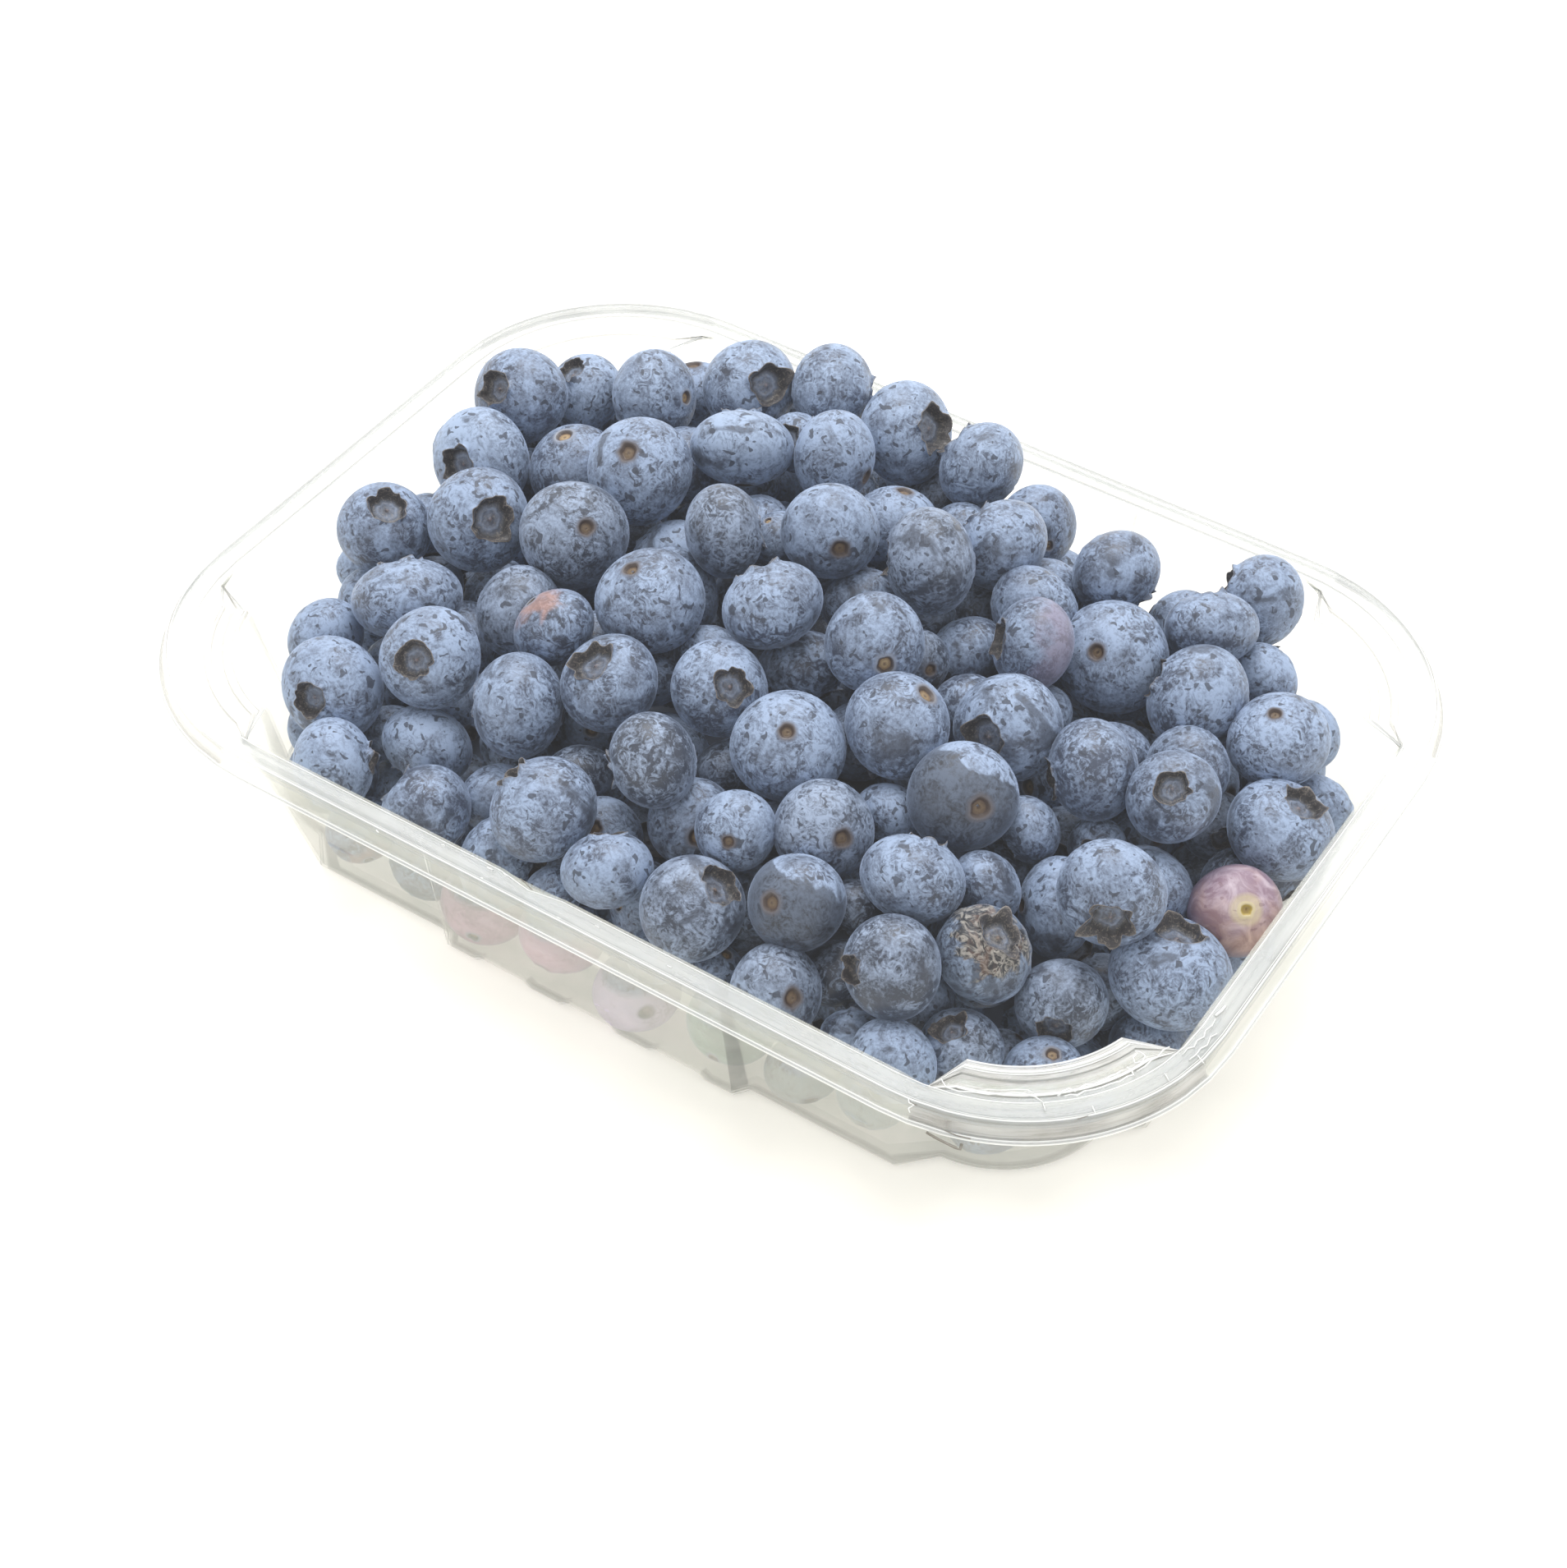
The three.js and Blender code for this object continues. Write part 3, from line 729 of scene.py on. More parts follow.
# Berries that the photograph doesn't show: their sizes, and the layers that they start in.
BERRY_MEAN = 7.2
BERRY_SPREAD = 0.75
LOWER_SQUASH = (0.78, 0.92)
LAYERS = (8.0, 20.0, 32.0, 43.0)
FILL_END = 84.0
FILL_SIDE = 54.0
ROW_PITCH = 12.6
COLUMN_PITCH = 14.2
ROW_STAGGER = 7.0
PLACE_JITTER = 2.2
START_ROOM = 0.72
LAYER_GIVE = 0.5

# Settling: how closely two berries lie, how far a round moves them, and what is left out.
CLOSENESS = 0.93
PUSH = 0.35
FIRM_PUSH = 0.6
PULL_BACK = 0.04
CLEARLY_BEHIND = 1
SINK_STEP = 0.22
SINK_SHARE = 0.7
SETTLE_ROUNDS = 60
FILL_ROUNDS = 120
END_ROOM = 0.8
TOP_GIVE = 2.5

# Small berries for the hollows that stay open, tried on a grid.
VOID_END = 80.0
VOID_SIDE = 56.0
VOID_FLOOR = 5.0
VOID_GRID = 2.5
VOID_COVER = 3.0
SMALLEST_BERRY = 4.4
NESTLING = 0.9

# The walls and the floor, and how far berries press on them.
WALL_GAP = 0.15
WALL_STEPS = 8
WALL_REACH = 1.1
WALL_GIVE = 0.5
WALL_PRESS = 0.85
FLOOR_PRESS = 0.88
FLOOR_GAP = 0.1
FLOOR_GIVE = 1.1

# Where a line of sight meets the heap, and how a berry looks from the camera.
DEPTH_SEARCH = 24.0
DEPTH_STEP = 0.5
SEARCH_ROUNDS = 12
SEARCH_EASE = 0.7
FLAT_SIDE = 0.92
EDGE_ON = 0.98
TURNED_AWAY = 0.25
SKYLINE_WIDTH = 0.9
SKYLINE_PIXELS = 2

SEED = 20417

Berry = namedtuple("Berry", "centre radius squash axis face kind")


def depth_on_heap(seen):
    """How deep along its line of sight a seen berry's middle lies, on the heap less its sink."""
    line = sight_line(seen.x, seen.y)
    depth = (EYE[2] - EDGE_HEIGHT) / -line[2]
    for _ in range(SEARCH_ROUNDS):
        place = EYE + line * depth
        depth += (place[2] - (heap_height(place[0], place[1]) - seen.sink)) / -line[2] * SEARCH_EASE
    return depth


def depth_range(line, share, start):
    """The nearest and farthest depth at which a berry lies inside the walls, near its start."""
    depths = start + np.arange(-DEPTH_SEARCH, DEPTH_SEARCH, DEPTH_STEP)
    clearance = wall_clearance(EYE + line * depths[:, None])[0]
    allowed = depths[clearance > share * depths * FLAT_SIDE - WALL_GIVE]
    return min(allowed, default=start), max(allowed, default=start)


def settled_depths(lines, depths, shares, sinks):
    """Moves berries along their lines of sight until hardly any two overlap.

    Of two that touch, the one that the photograph shows behind moves back.
    """
    start = depths.copy()
    lower = sinks[:, None] - sinks[None]
    behind = np.sign(lower) * (np.abs(lower) > CLEARLY_BEHIND)
    limits = np.array([depth_range(*each) for each in zip(lines, shares, start)])
    for _ in range(SETTLE_ROUNDS):
        centres = EYE + lines * depths[:, None]
        radii = shares * depths
        apart = centres[:, None] - centres[None]
        distance = np.linalg.norm(apart, axis=2) + np.eye(len(depths)) * 1e6
        overlap = np.maximum(0.0, (radii[:, None] + radii[None]) * CLOSENESS - distance)
        order = np.where(behind == 0, np.sign(depths[:, None] - depths[None] + 1e-6), behind)
        depths = depths + PUSH * (overlap * order).sum(axis=1)
        depths = depths + PULL_BACK * (start - depths)
        depths = np.clip(depths, limits[:, 0], limits[:, 1])
    return depths


def axis_from_photo(seen):
    """The direction of a seen berry's visible pole."""
    reach = seen.radius * seen.squash
    across = (seen.pole_x - seen.x) / reach
    up = (seen.y - seen.pole_y) / reach
    side = math.hypot(across, up)
    if side > EDGE_ON:
        towards = -TURNED_AWAY * (side - EDGE_ON)
        across /= side
        up /= side
    else:
        towards = math.sqrt(1 - side * side)
    axis = RIGHT * across + UP * up + BACK * towards
    return axis / np.linalg.norm(axis)


def seen_berries():
    """The berries of the heap that the photograph shows, each on its own line of sight."""
    lines = np.array([sight_line(seen.x, seen.y) for seen in SEEN_BERRIES])
    shares = np.array([seen.radius / FOCAL_PIXELS for seen in SEEN_BERRIES])
    depths = np.array([depth_on_heap(seen) for seen in SEEN_BERRIES])
    sinks = np.array([float(seen.sink) for seen in SEEN_BERRIES])
    depths = settled_depths(lines, depths, shares, sinks)
    berries = []
    for seen, line, depth, share in zip(SEEN_BERRIES, lines, depths, shares):
        centre = EYE + line * depth
        axis = axis_from_photo(seen)
        berries.append(Berry(centre, share * depth, seen.squash, axis, seen.face, seen.kind))
    return berries


def depth_at_wall(seen):
    """How deep along its line of sight a berry is pressed on the near wall from inside."""
    near = 0.9 * CAMERA_DISTANCE
    far = 1.2 * CAMERA_DISTANCE
    depths = np.arange(near, far, DEPTH_STEP / 2)
    places = EYE + sight_line(seen.x, seen.y) * depths[:, None]
    clearance = wall_clearance(places)[0]
    inside = clearance > seen.radius / FOCAL_PIXELS * depths * WALL_PRESS
    return depths[inside.argmax()]


def wall_berries():
    """The berries that lie against the near wall, above the tray's floor."""
    berries = []
    for seen in WALL_BERRIES:
        depth = depth_at_wall(seen)
        radius = seen.radius / FOCAL_PIXELS * depth
        centre = EYE + sight_line(seen.x, seen.y) * depth
        centre[2] = max(centre[2], SHEET + radius * WALL_PRESS)
        berries.append(Berry(centre, radius, seen.squash, axis_from_photo(seen), seen.face, seen.kind))
    return berries


def wall_loop(down):
    """The walls' inner outline: points, directions and lengths of its sides, clockwise."""
    loop = np.array(mirrored([(x, y, 0.0) for x, y in body_quarter(down, SHEET + WALL_GAP)]))[:, :2]
    sides = np.roll(loop, -1, axis=0) - loop
    lengths = np.linalg.norm(sides, axis=1)
    return loop, sides / lengths[:, None], lengths


WALL_LOOPS = [wall_loop(level / WALL_STEPS) for level in range(WALL_STEPS + 1)]


def wall_clearance(places):
    """How far inside the nearest wall each place is, and the direction away from that wall."""
    down = np.clip(1 - places[:, 2] / LEDGE_HEIGHT, 0.0, 1.0)
    levels = np.rint(down * WALL_STEPS).astype(int)
    clearance = np.zeros(len(places))
    inwards = np.zeros((len(places), 2))
    for level in np.unique(levels):
        here = levels == level
        loop, along, lengths = WALL_LOOPS[level]
        offset = places[here, None, :2] - loop[None]
        reach = np.clip((offset * along).sum(axis=2), 0.0, lengths)
        from_side = offset - along[None] * reach[:, :, None]
        distance = np.linalg.norm(from_side, axis=2)
        nearest = distance.argmin(axis=1)
        rows = np.arange(len(nearest))
        normal = np.stack((along[nearest, 1], -along[nearest, 0]), axis=1)
        side = np.sign((from_side[rows, nearest] * normal).sum(axis=1) + 1e-9)
        clearance[here] = distance[rows, nearest] * side
        inwards[here] = normal
    return clearance, inwards


def kept_inside(places, radii):
    """The nearest places inside the walls and above the floor."""
    inner = places.copy()
    inner[:, 2] = np.maximum(inner[:, 2], SHEET + radii * FLOOR_PRESS)
    for _ in range(3):
        clearance, inwards = wall_clearance(inner)
        inner[:, :2] += inwards * np.maximum(0.0, radii - clearance)[:, None]
    return inner


def pressed_inside(points, berry):
    """Flattens a berry where it would pass through the walls or the floor."""
    inner = points.copy()
    inner[:, 2] = np.maximum(inner[:, 2], SHEET + FLOOR_GAP)
    near_wall = wall_clearance(berry.centre[None])[0][0] < berry.radius * WALL_REACH
    return kept_inside(inner, np.zeros(len(inner))) if near_wall else inner


def skyline():
    """The photo's upper outline of the heap: the highest berry's y in every column."""
    tops = np.full(PHOTO_WIDTH, float(PHOTO_HEIGHT))
    for seen in SEEN_BERRIES:
        columns = np.arange(seen.x - seen.radius + 1, seen.x + seen.radius)
        rise = np.sqrt(seen.radius ** 2 - (columns - seen.x) ** 2)
        tops[columns] = np.minimum(tops[columns], seen.y - rise * FLAT_SIDE)
    return tops


def sticks_out(place, radius, tops):
    """Whether a berry would show above the outline that the photo has."""
    offset = place - EYE
    scale = FOCAL_PIXELS / -(offset @ BACK)
    across = PHOTO_WIDTH / 2 + scale * (offset @ RIGHT)
    down = PHOTO_HEIGHT / 2 - scale * (offset @ UP)
    reach = radius * scale * FLAT_SIDE
    wide = reach * SKYLINE_WIDTH
    columns = np.arange(int(across - wide), int(across + wide))
    rise = np.sqrt(reach ** 2 - (columns - across) ** 2)
    return bool((down - rise < tops[columns] - SKYLINE_PIXELS).any())


def first_places(rng):
    """Uneven layers of places that fill the tray up to the heap's top."""
    places = []
    for layer, height in enumerate(LAYERS):
        for row, y in enumerate(np.arange(-FILL_SIDE, FILL_SIDE + 1, ROW_PITCH)):
            stagger = ROW_STAGGER * ((row + layer) % 2)
            for x in np.arange(stagger - FILL_END, FILL_END, COLUMN_PITCH):
                place = np.array((x, y, height)) + rng.uniform(-PLACE_JITTER, PLACE_JITTER, 3)
                if place[2] < heap_height(place[0], place[1]) + LAYER_GIVE:
                    places.append(place)
    return places


def pushed_apart(places, radii, firm, firm_radii):
    """One step away from every berry that overlaps."""
    apart = places[:, None] - places[None]
    distance = np.linalg.norm(apart, axis=2) + np.eye(len(places)) * 1e6
    overlap = np.maximum(0.0, (radii[:, None] + radii[None]) * CLOSENESS - distance)
    places = places + PUSH * (apart / distance[:, :, None] * overlap[:, :, None]).sum(axis=1)
    apart = places[:, None] - firm[None]
    distance = np.linalg.norm(apart, axis=2)
    overlap = np.maximum(0.0, (radii[:, None] + firm_radii[None]) * CLOSENESS - distance)
    return places + FIRM_PUSH * (apart / distance[:, :, None] * overlap[:, :, None]).sum(axis=1)


def void_places(centres, radii):
    """Places and radii of small berries that fit the hollows still open in the heap."""
    spots = []
    for x in np.arange(-VOID_END, VOID_END + 1, VOID_GRID):
        for y in np.arange(-VOID_SIDE, VOID_SIDE + 1, VOID_GRID):
            top = heap_height(x, y) - VOID_COVER
            spots += [(x, y, z) for z in np.arange(VOID_FLOOR, top, VOID_GRID)]
    spots = np.array(spots)
    room = np.minimum(wall_clearance(spots)[0], (spots[:, 2] - SHEET) * FLOOR_GIVE)
    for centre, radius in zip(centres, radii):
        room = np.minimum(room, np.linalg.norm(spots - centre, axis=1) - radius * NESTLING)
    found = []
    while room.max() > SMALLEST_BERRY:
        best = room.argmax()
        radius = min(room[best], BERRY_MEAN)
        found.append((spots[best], radius))
        room = np.minimum(room, np.linalg.norm(spots - spots[best], axis=1) - radius * NESTLING)
    return found


def fill_berries(fixed, rng):
    """The berries below, behind and between the seen ones, settled against them."""
    places = np.array(first_places(rng))
    radii = BERRY_MEAN + BERRY_SPREAD * rng.uniform(-1, 1, len(places))
    firm = np.array([berry.centre for berry in fixed])
    firm_radii = np.array([berry.radius for berry in fixed])
    reach = (radii[:, None] + firm_radii[None]) * START_ROOM
    gaps = np.linalg.norm(places[:, None] - firm[None], axis=2) - reach
    free = gaps.min(axis=1) > 0
    places = places[free]
    radii = radii[free]
    for step in range(FILL_ROUNDS):
        places[:, 2] -= SINK_STEP if step < FILL_ROUNDS * SINK_SHARE else 0.0
        places = kept_inside(pushed_apart(places, radii, firm, firm_radii), radii)
    chosen = []
    for place, radius in zip(places, radii):
        near = np.linalg.norm(firm - place, axis=1) - (firm_radii + radius) * END_ROOM
        if near.min() > 0 and place[2] < heap_height(place[0], place[1]) + TOP_GIVE:
            chosen.append((place, radius))
    centres = list(firm) + [place for place, _ in chosen]
    chosen += void_places(centres, list(firm_radii) + [radius for _, radius in chosen])
    tops = skyline()
    chosen = [(place, radius) for place, radius in chosen if not sticks_out(place, radius, tops)]
    berries = []
    for place, radius in chosen:
        axis = rng.normal(size=3)
        axis /= np.linalg.norm(axis)
        berries.append(Berry(place, radius, rng.uniform(*LOWER_SQUASH), axis, "scar", "lower"))
    return berries


# ---- the shape of a berry ----

# Lengths here are shares of the berry's radius, and pairs are the range of a random draw.
CROWN_LOBES = 5
CROWN_RADIUS = (0.32, 0.44)
CROWN_SINK = 0.02
CROWN_FLARE = 1.26
CROWN_FLOOR = 0.11
LOBE_SIZE = (0.25, 1.3)
LOBE_HEIGHT = (0.07, 0.15)
LOBE_CURL = (-0.4, 1.5)
LOBE_LOWEST = 0.006
LOBE_TEARS = 23
PIT_RADIUS = (0.105, 0.17)
PIT_FLARE = 2.6
PIT_FLOOR = 0.05
PIT_FRAY = 0.06
PIT_TEARS = 11
FLAT_END = 0.985
TWO_LUMPS = 0.020
THREE_LUMPS = 0.012
SKEW = 0.03
WRINKLES = 7
WRINKLE_DEPTH = 0.05

# Rows of a crown's cup, from its middle outwards: reach as a share of the opening, height
# above the opening's edge in berry radii, and place on the crown's run of colours.
CROWN_CUP = (
    (0.07, -0.120, 1.00),
    (0.14, -0.150, 0.92),
    (0.40, -0.165, 0.80),
    (0.50, -0.135, 0.72),
    (0.60, -0.165, 0.64),
    (0.83, -0.155, 0.52),
    (0.92, -0.070, 0.42),
)

# Rows of the lobes from the cup outwards: reach as a share of the opening, share of the
# curl, share of the lobe's height, and place on the crown's run of colours.
CROWN_LIP = (
    (0.98, 0.6, 0.60, 0.30),
    (1.00, 1.0, 1.00, 0.20),
    (1.03, 0.9, 0.85, 0.10),
    (1.10, 0.3, 0.20, 0.03),
)

# Rows of the pit where the stem was, from the skin inwards: reach as a share of the pit's
# radius, height above the berry's end in berry radii, and place on the pit's run of colours.
STEM_PIT = (
    (2.00, 0.028, 0.10),
    (1.45, -0.010, 0.30),
    (1.08, 0.002, 0.45),
    (0.88, 0.055, 0.62),
    (0.62, 0.060, 0.78),
    (0.30, 0.045, 0.90),
)


def ragged(angles, knots, spread, rng):
    """An uneven run of numbers round a ring, with `knots` bends."""
    bends = rng.normal(0, spread, knots)
    return np.interp(angles / (2 * math.pi) * knots, np.arange(knots + 1), np.append(bends, bends[0]))


def crown_rows(angles, radius, rim, rng):
    """Rows of a crown from its middle to the skin: reach, height and place on its colours."""
    turn = angles / (2 * math.pi) * CROWN_LOBES + rng.uniform(0, 1)
    sizes = rng.uniform(*LOBE_SIZE, CROWN_LOBES)
    lobe = (1 - np.abs(2 * (turn % 1) - 1)) ** 0.8 * sizes[np.floor(turn).astype(int) % CROWN_LOBES]
    stand = rng.uniform(*LOBE_HEIGHT) * lobe + ragged(angles, LOBE_TEARS, 0.022, rng)
    stand = np.maximum(LOBE_LOWEST, stand)
    opening = radius * (0.90 + 0.08 * lobe + ragged(angles, LOBE_TEARS, 0.07, rng))
    curl = rng.uniform(*LOBE_CURL)
    rows = [(opening * share, rim + depth, place) for share, depth, place in CROWN_CUP]
    for share, bend, lift, place in CROWN_LIP:
        rows.append((opening * share + stand * curl * bend, rim + stand * lift, place))
    return rows


def berry_shape(squash, segments, bands, rng):
    """Points, faces and values of one berry of radius 1 with its crown at the top."""
    angles = np.arange(segments) / segments * 2 * math.pi
    crown_radius = rng.uniform(*CROWN_RADIUS)
    rim = squash * math.sqrt(1 - crown_radius ** 2) - CROWN_SINK
    pit_radius = rng.uniform(*PIT_RADIUS)
    end = -squash * FLAT_END
    rows = [(*row, 0.0) for row in crown_rows(angles, crown_radius, rim, rng)]
    first = math.acos(min(1.0, crown_radius * CROWN_FLARE))
    last = -math.acos(pit_radius * PIT_FLARE)
    for band in range(bands + 1):
        lift = first + (last - first) * band / bands
        rows.append((math.cos(lift), squash * math.sin(lift), 0.0, 0.0))
    frayed = 1 + ragged(angles, PIT_TEARS, PIT_FRAY, rng)
    rows += [(pit_radius * share * frayed, end + rise, 0.0, place) for share, rise, place in STEM_PIT]
    lumps = 1 + TWO_LUMPS * np.cos(2 * angles + rng.uniform(0, 6))
    lumps += THREE_LUMPS * np.cos(3 * angles + rng.uniform(0, 6))
    shift = rng.normal(0, SKEW, 2)
    points = [np.array(((0.0, 0.0, rim - CROWN_FLOOR),))]
    crown = [1.0]
    pit = [0.0]
    for reach, height, crown_place, pit_place in rows:
        across = reach * lumps * np.ones(segments)
        lean = height / squash
        points.append(np.stack((
            across * np.cos(angles) + shift[0] * lean,
            across * np.sin(angles) + shift[1] * lean,
            height * np.ones(segments),
        ), axis=1))
        crown += [crown_place] * segments
        pit += [pit_place] * segments
    points.append(np.array(((0.0, 0.0, end + PIT_FLOOR),)))
    crown.append(0.0)
    pit.append(1.0)
    points = np.vstack(points)
    faces = [(0, 1 + s, 1 + (s + 1) % segments) for s in range(segments)]
    faces += band_faces(len(rows), segments, 1)
    final = 1 + (len(rows) - 1) * segments
    faces += [(final + (s + 1) % segments, final + s, len(points) - 1) for s in range(segments)]
    return points, faces, crown, pit


def turned_onto(axis, spin):
    """A rotation matrix that takes +Z onto `axis`, after a spin about it."""
    target = Vector(axis)
    return np.array(target.to_track_quat("Z", "Y").to_matrix() @ Matrix.Rotation(spin, 3, "Z"))


def wrinkled(points, rng):
    """A dried, shrunken skin: shallow ridges that wander over the berry."""
    waves = np.zeros(len(points))
    for _ in range(WRINKLES):
        direction = rng.normal(size=3)
        direction /= np.linalg.norm(direction)
        waves += np.abs(np.sin(points @ direction * rng.uniform(5, 11) + rng.uniform(0, 6)))
    return points * (1 - WRINKLE_DEPTH * (waves / WRINKLES - 0.5)[:, None] * 2)


def joined_berries(name, berries, material, segments, bands, rng):
    """One piece from all these berries, each with a shape of its own."""
    points = []
    faces = []
    values = {label: [] for label in ("crown", "pit", "tone", "height", "up", "back")}
    start = 0
    for berry in berries:
        shape, shape_faces, crown, pit = berry_shape(berry.squash, segments, bands, rng)
        values["height"] += (shape[:, 2] / berry.squash).tolist()
        if berry.kind == "brown":
            shape = wrinkled(shape, rng)
        axis = berry.axis if berry.face == "crown" else -berry.axis
        turned = shape @ turned_onto(axis, rng.uniform(0, 2 * math.pi)).T
        points.append(pressed_inside(turned * berry.radius + berry.centre, berry))
        values["up"] += turned[:, 2].tolist()
        values["back"] += turned[:, 1].tolist()
        faces += [tuple(corner + start for corner in face) for face in shape_faces]
        values["crown"] += crown
        values["pit"] += pit
        values["tone"] += [rng.uniform(0, 1)] * len(shape)
        start += len(shape)
    return make_piece(name, np.vstack(points), faces, (material,), values)


def build_core(material):
    """A dark filling that closes the view between the berries."""
    points = []
    for level in ("top", "bottom"):
        for row in range(CORE_ROWS + 1):
            for column in range(CORE_COLUMNS + 1):
                u = 2 * column / CORE_COLUMNS - 1
                v = 2 * row / CORE_ROWS - 1
                x = u * (HALF_LENGTH - CORE_END_MARGIN) * (1 - CORE_CORNER_PULL * v ** 4)
                y = v * (HALF_WIDTH - CORE_SIDE_MARGIN) * (1 - CORE_CORNER_PULL * u ** 4)
                edge = max(abs(u), abs(v)) ** 6
                top = (heap_height(x, y) - CORE_DEPTH) * (1 - CORE_EDGE_DROP * edge)
                points.append((x, y, top if level == "top" else CORE_FOOT))
    width = CORE_COLUMNS + 1
    half = width * (CORE_ROWS + 1)
    faces = []
    for row in range(CORE_ROWS):
        for column in range(CORE_COLUMNS):
            here = row * width + column
            top = (here, here + 1, here + 1 + width, here + width)
            faces.append(top)
            faces.append(tuple(corner + half for corner in reversed(top)))
    border = list(range(CORE_COLUMNS))
    border += [row * width + CORE_COLUMNS for row in range(CORE_ROWS)]
    border += [CORE_ROWS * width + column for column in range(CORE_COLUMNS, 0, -1)]
    border += [row * width for row in range(CORE_ROWS, 0, -1)]
    for index, here in enumerate(border):
        following = border[(index + 1) % len(border)]
        faces.append((following, here, here + half, following + half))
    return make_piece("heap_core", points, faces, (material,))


# ---- materials ----

def linear(red, green, blue):
    """A shader colour from the sRGB numbers of 0 to 255 that this script gives."""
    def channel(value):
        share = value / 255
        return share / 12.92 if share <= 0.04045 else ((share + 0.055) / 1.055) ** 2.4
    return (channel(red), channel(green), channel(blue))


def set_sockets(node, numbers):
    """Sets a node's own sockets, for what is the same all over."""
    for label, number in numbers.items():
        node.inputs[label].default_value = number


class Nodes:
    """A small helper that adds and joins shader nodes."""

    def __init__(self, name):
        self.material = bpy.data.materials.new(name)
        self.material.use_nodes = True
        self.tree = self.material.node_tree
        self.skin = self.tree.nodes["Principled BSDF"]

    def add(self, kind, **settings):
        node = self.tree.nodes.new(kind)
        for key, value in settings.items():
            setattr(node, key, value)
        return node

    def join(self, output, target):
        self.tree.links.new(output, target)

    def feed(self, source, socket):
        """Sets a socket to a number or a colour, or joins another node's output to it."""
        if isinstance(source, (int, float)):
            socket.default_value = source
        elif isinstance(source, tuple):
            socket.default_value = (*linear(*source), 1.0)
        else:
            self.join(source, socket)

    def paint(self, colour):
        self.join(colour, self.skin.inputs["Base Color"])

    def value(self, label):
        """A number that the mesh holds for every point."""
        return self.add("ShaderNodeAttribute", attribute_name=label).outputs["Fac"]

    def place(self):
        return self.add("ShaderNodeTexCoord").outputs["Object"]

    def noise(self, scale, detail=3.0, roughness=0.55, distortion=0.0, where=None):
        """An uneven grey of about 0.5. `scale` is in bumps per metre, unless `where` is given."""
        node = self.add("ShaderNodeTexNoise")
        set_sockets(node, {"Scale": scale, "Detail": detail})
        set_sockets(node, {"Roughness": roughness, "Distortion": distortion})
        self.join(where or self.place(), node.inputs["Vector"])
        return node.outputs["Fac"]

    def between(self, value, low, high, out_low=0.0, out_high=1.0):
        """Takes `low` to `out_low` and `high` to `out_high`, and stops there."""
        node = self.add("ShaderNodeMapRange")
        set_sockets(node, {"From Min": low, "From Max": high, "To Min": out_low, "To Max": out_high})
        self.join(value, node.inputs["Value"])
        return node.outputs["Result"]

    def sum_or_product(self, operation, first, second):
        node = self.add("ShaderNodeMath", operation=operation)
        self.feed(first, node.inputs[0])
        self.feed(second, node.inputs[1])
        return node.outputs["Value"]

    def plus(self, first, second):
        return self.sum_or_product("ADD", first, second)

    def times(self, first, second):
        return self.sum_or_product("MULTIPLY", first, second)

    def mix(self, share, first, second):
        """The first colour where `share` is 0 and the second where it is 1."""
        node = self.add("ShaderNodeMix", data_type="RGBA")
        for socket, source in ((0, share), (6, first), (7, second)):
            self.feed(source, node.inputs[socket])
        return node.outputs[2]

    def ramp(self, value, stops):
        """A run of colours, each given with its place from 0 to 1."""
        node = self.add("ShaderNodeValToRGB")
        elements = node.color_ramp.elements
        while len(elements) < len(stops):
            elements.new(1.0)
        for element, (place, colour) in zip(elements, stops):
            element.position = place
            element.color = (*linear(*colour), 1.0)
        self.join(value, node.inputs["Fac"])
        return node.outputs["Color"]

    def bump(self, height, strength, distance):
        """Fine relief, with `distance` in metres."""
        node = self.add("ShaderNodeBump")
        set_sockets(node, {"Strength": strength, "Distance": distance})
        self.join(height, node.inputs["Height"])
        self.join(node.outputs["Normal"], self.skin.inputs["Normal"])


BLOOM = (145, 164, 194)
BARE = (58, 66, 84)
WORN = (46, 52, 66)

# Colours across a crown, from its lobes' outside to its middle.
CUP_SHADE = (40, 39, 42)
CROWN_COLOURS = (
    (0.03, (98, 110, 134)),
    (0.12, (82, 84, 92)),
    (0.20, (142, 132, 122)),
    (0.25, (52, 48, 50)),
    (0.50, CUP_SHADE),
    (0.60, (74, 78, 88)),
    (0.72, (118, 128, 148)),
    (0.80, (78, 84, 98)),
    (0.93, (78, 72, 70)),
    (1.00, (118, 92, 76)),
)

# Colours across the stem's pit, from the skin to its middle.
PIT_SHADE = (58, 42, 34)
PIT_COLOURS = (
    (0.10, (122, 135, 160)),
    (0.36, (138, 144, 158)),
    (0.45, (78, 72, 72)),
    (0.62, PIT_SHADE),
    (0.72, (128, 102, 72)),
    (0.88, (166, 140, 100)),
    (1.00, (84, 62, 46)),
)


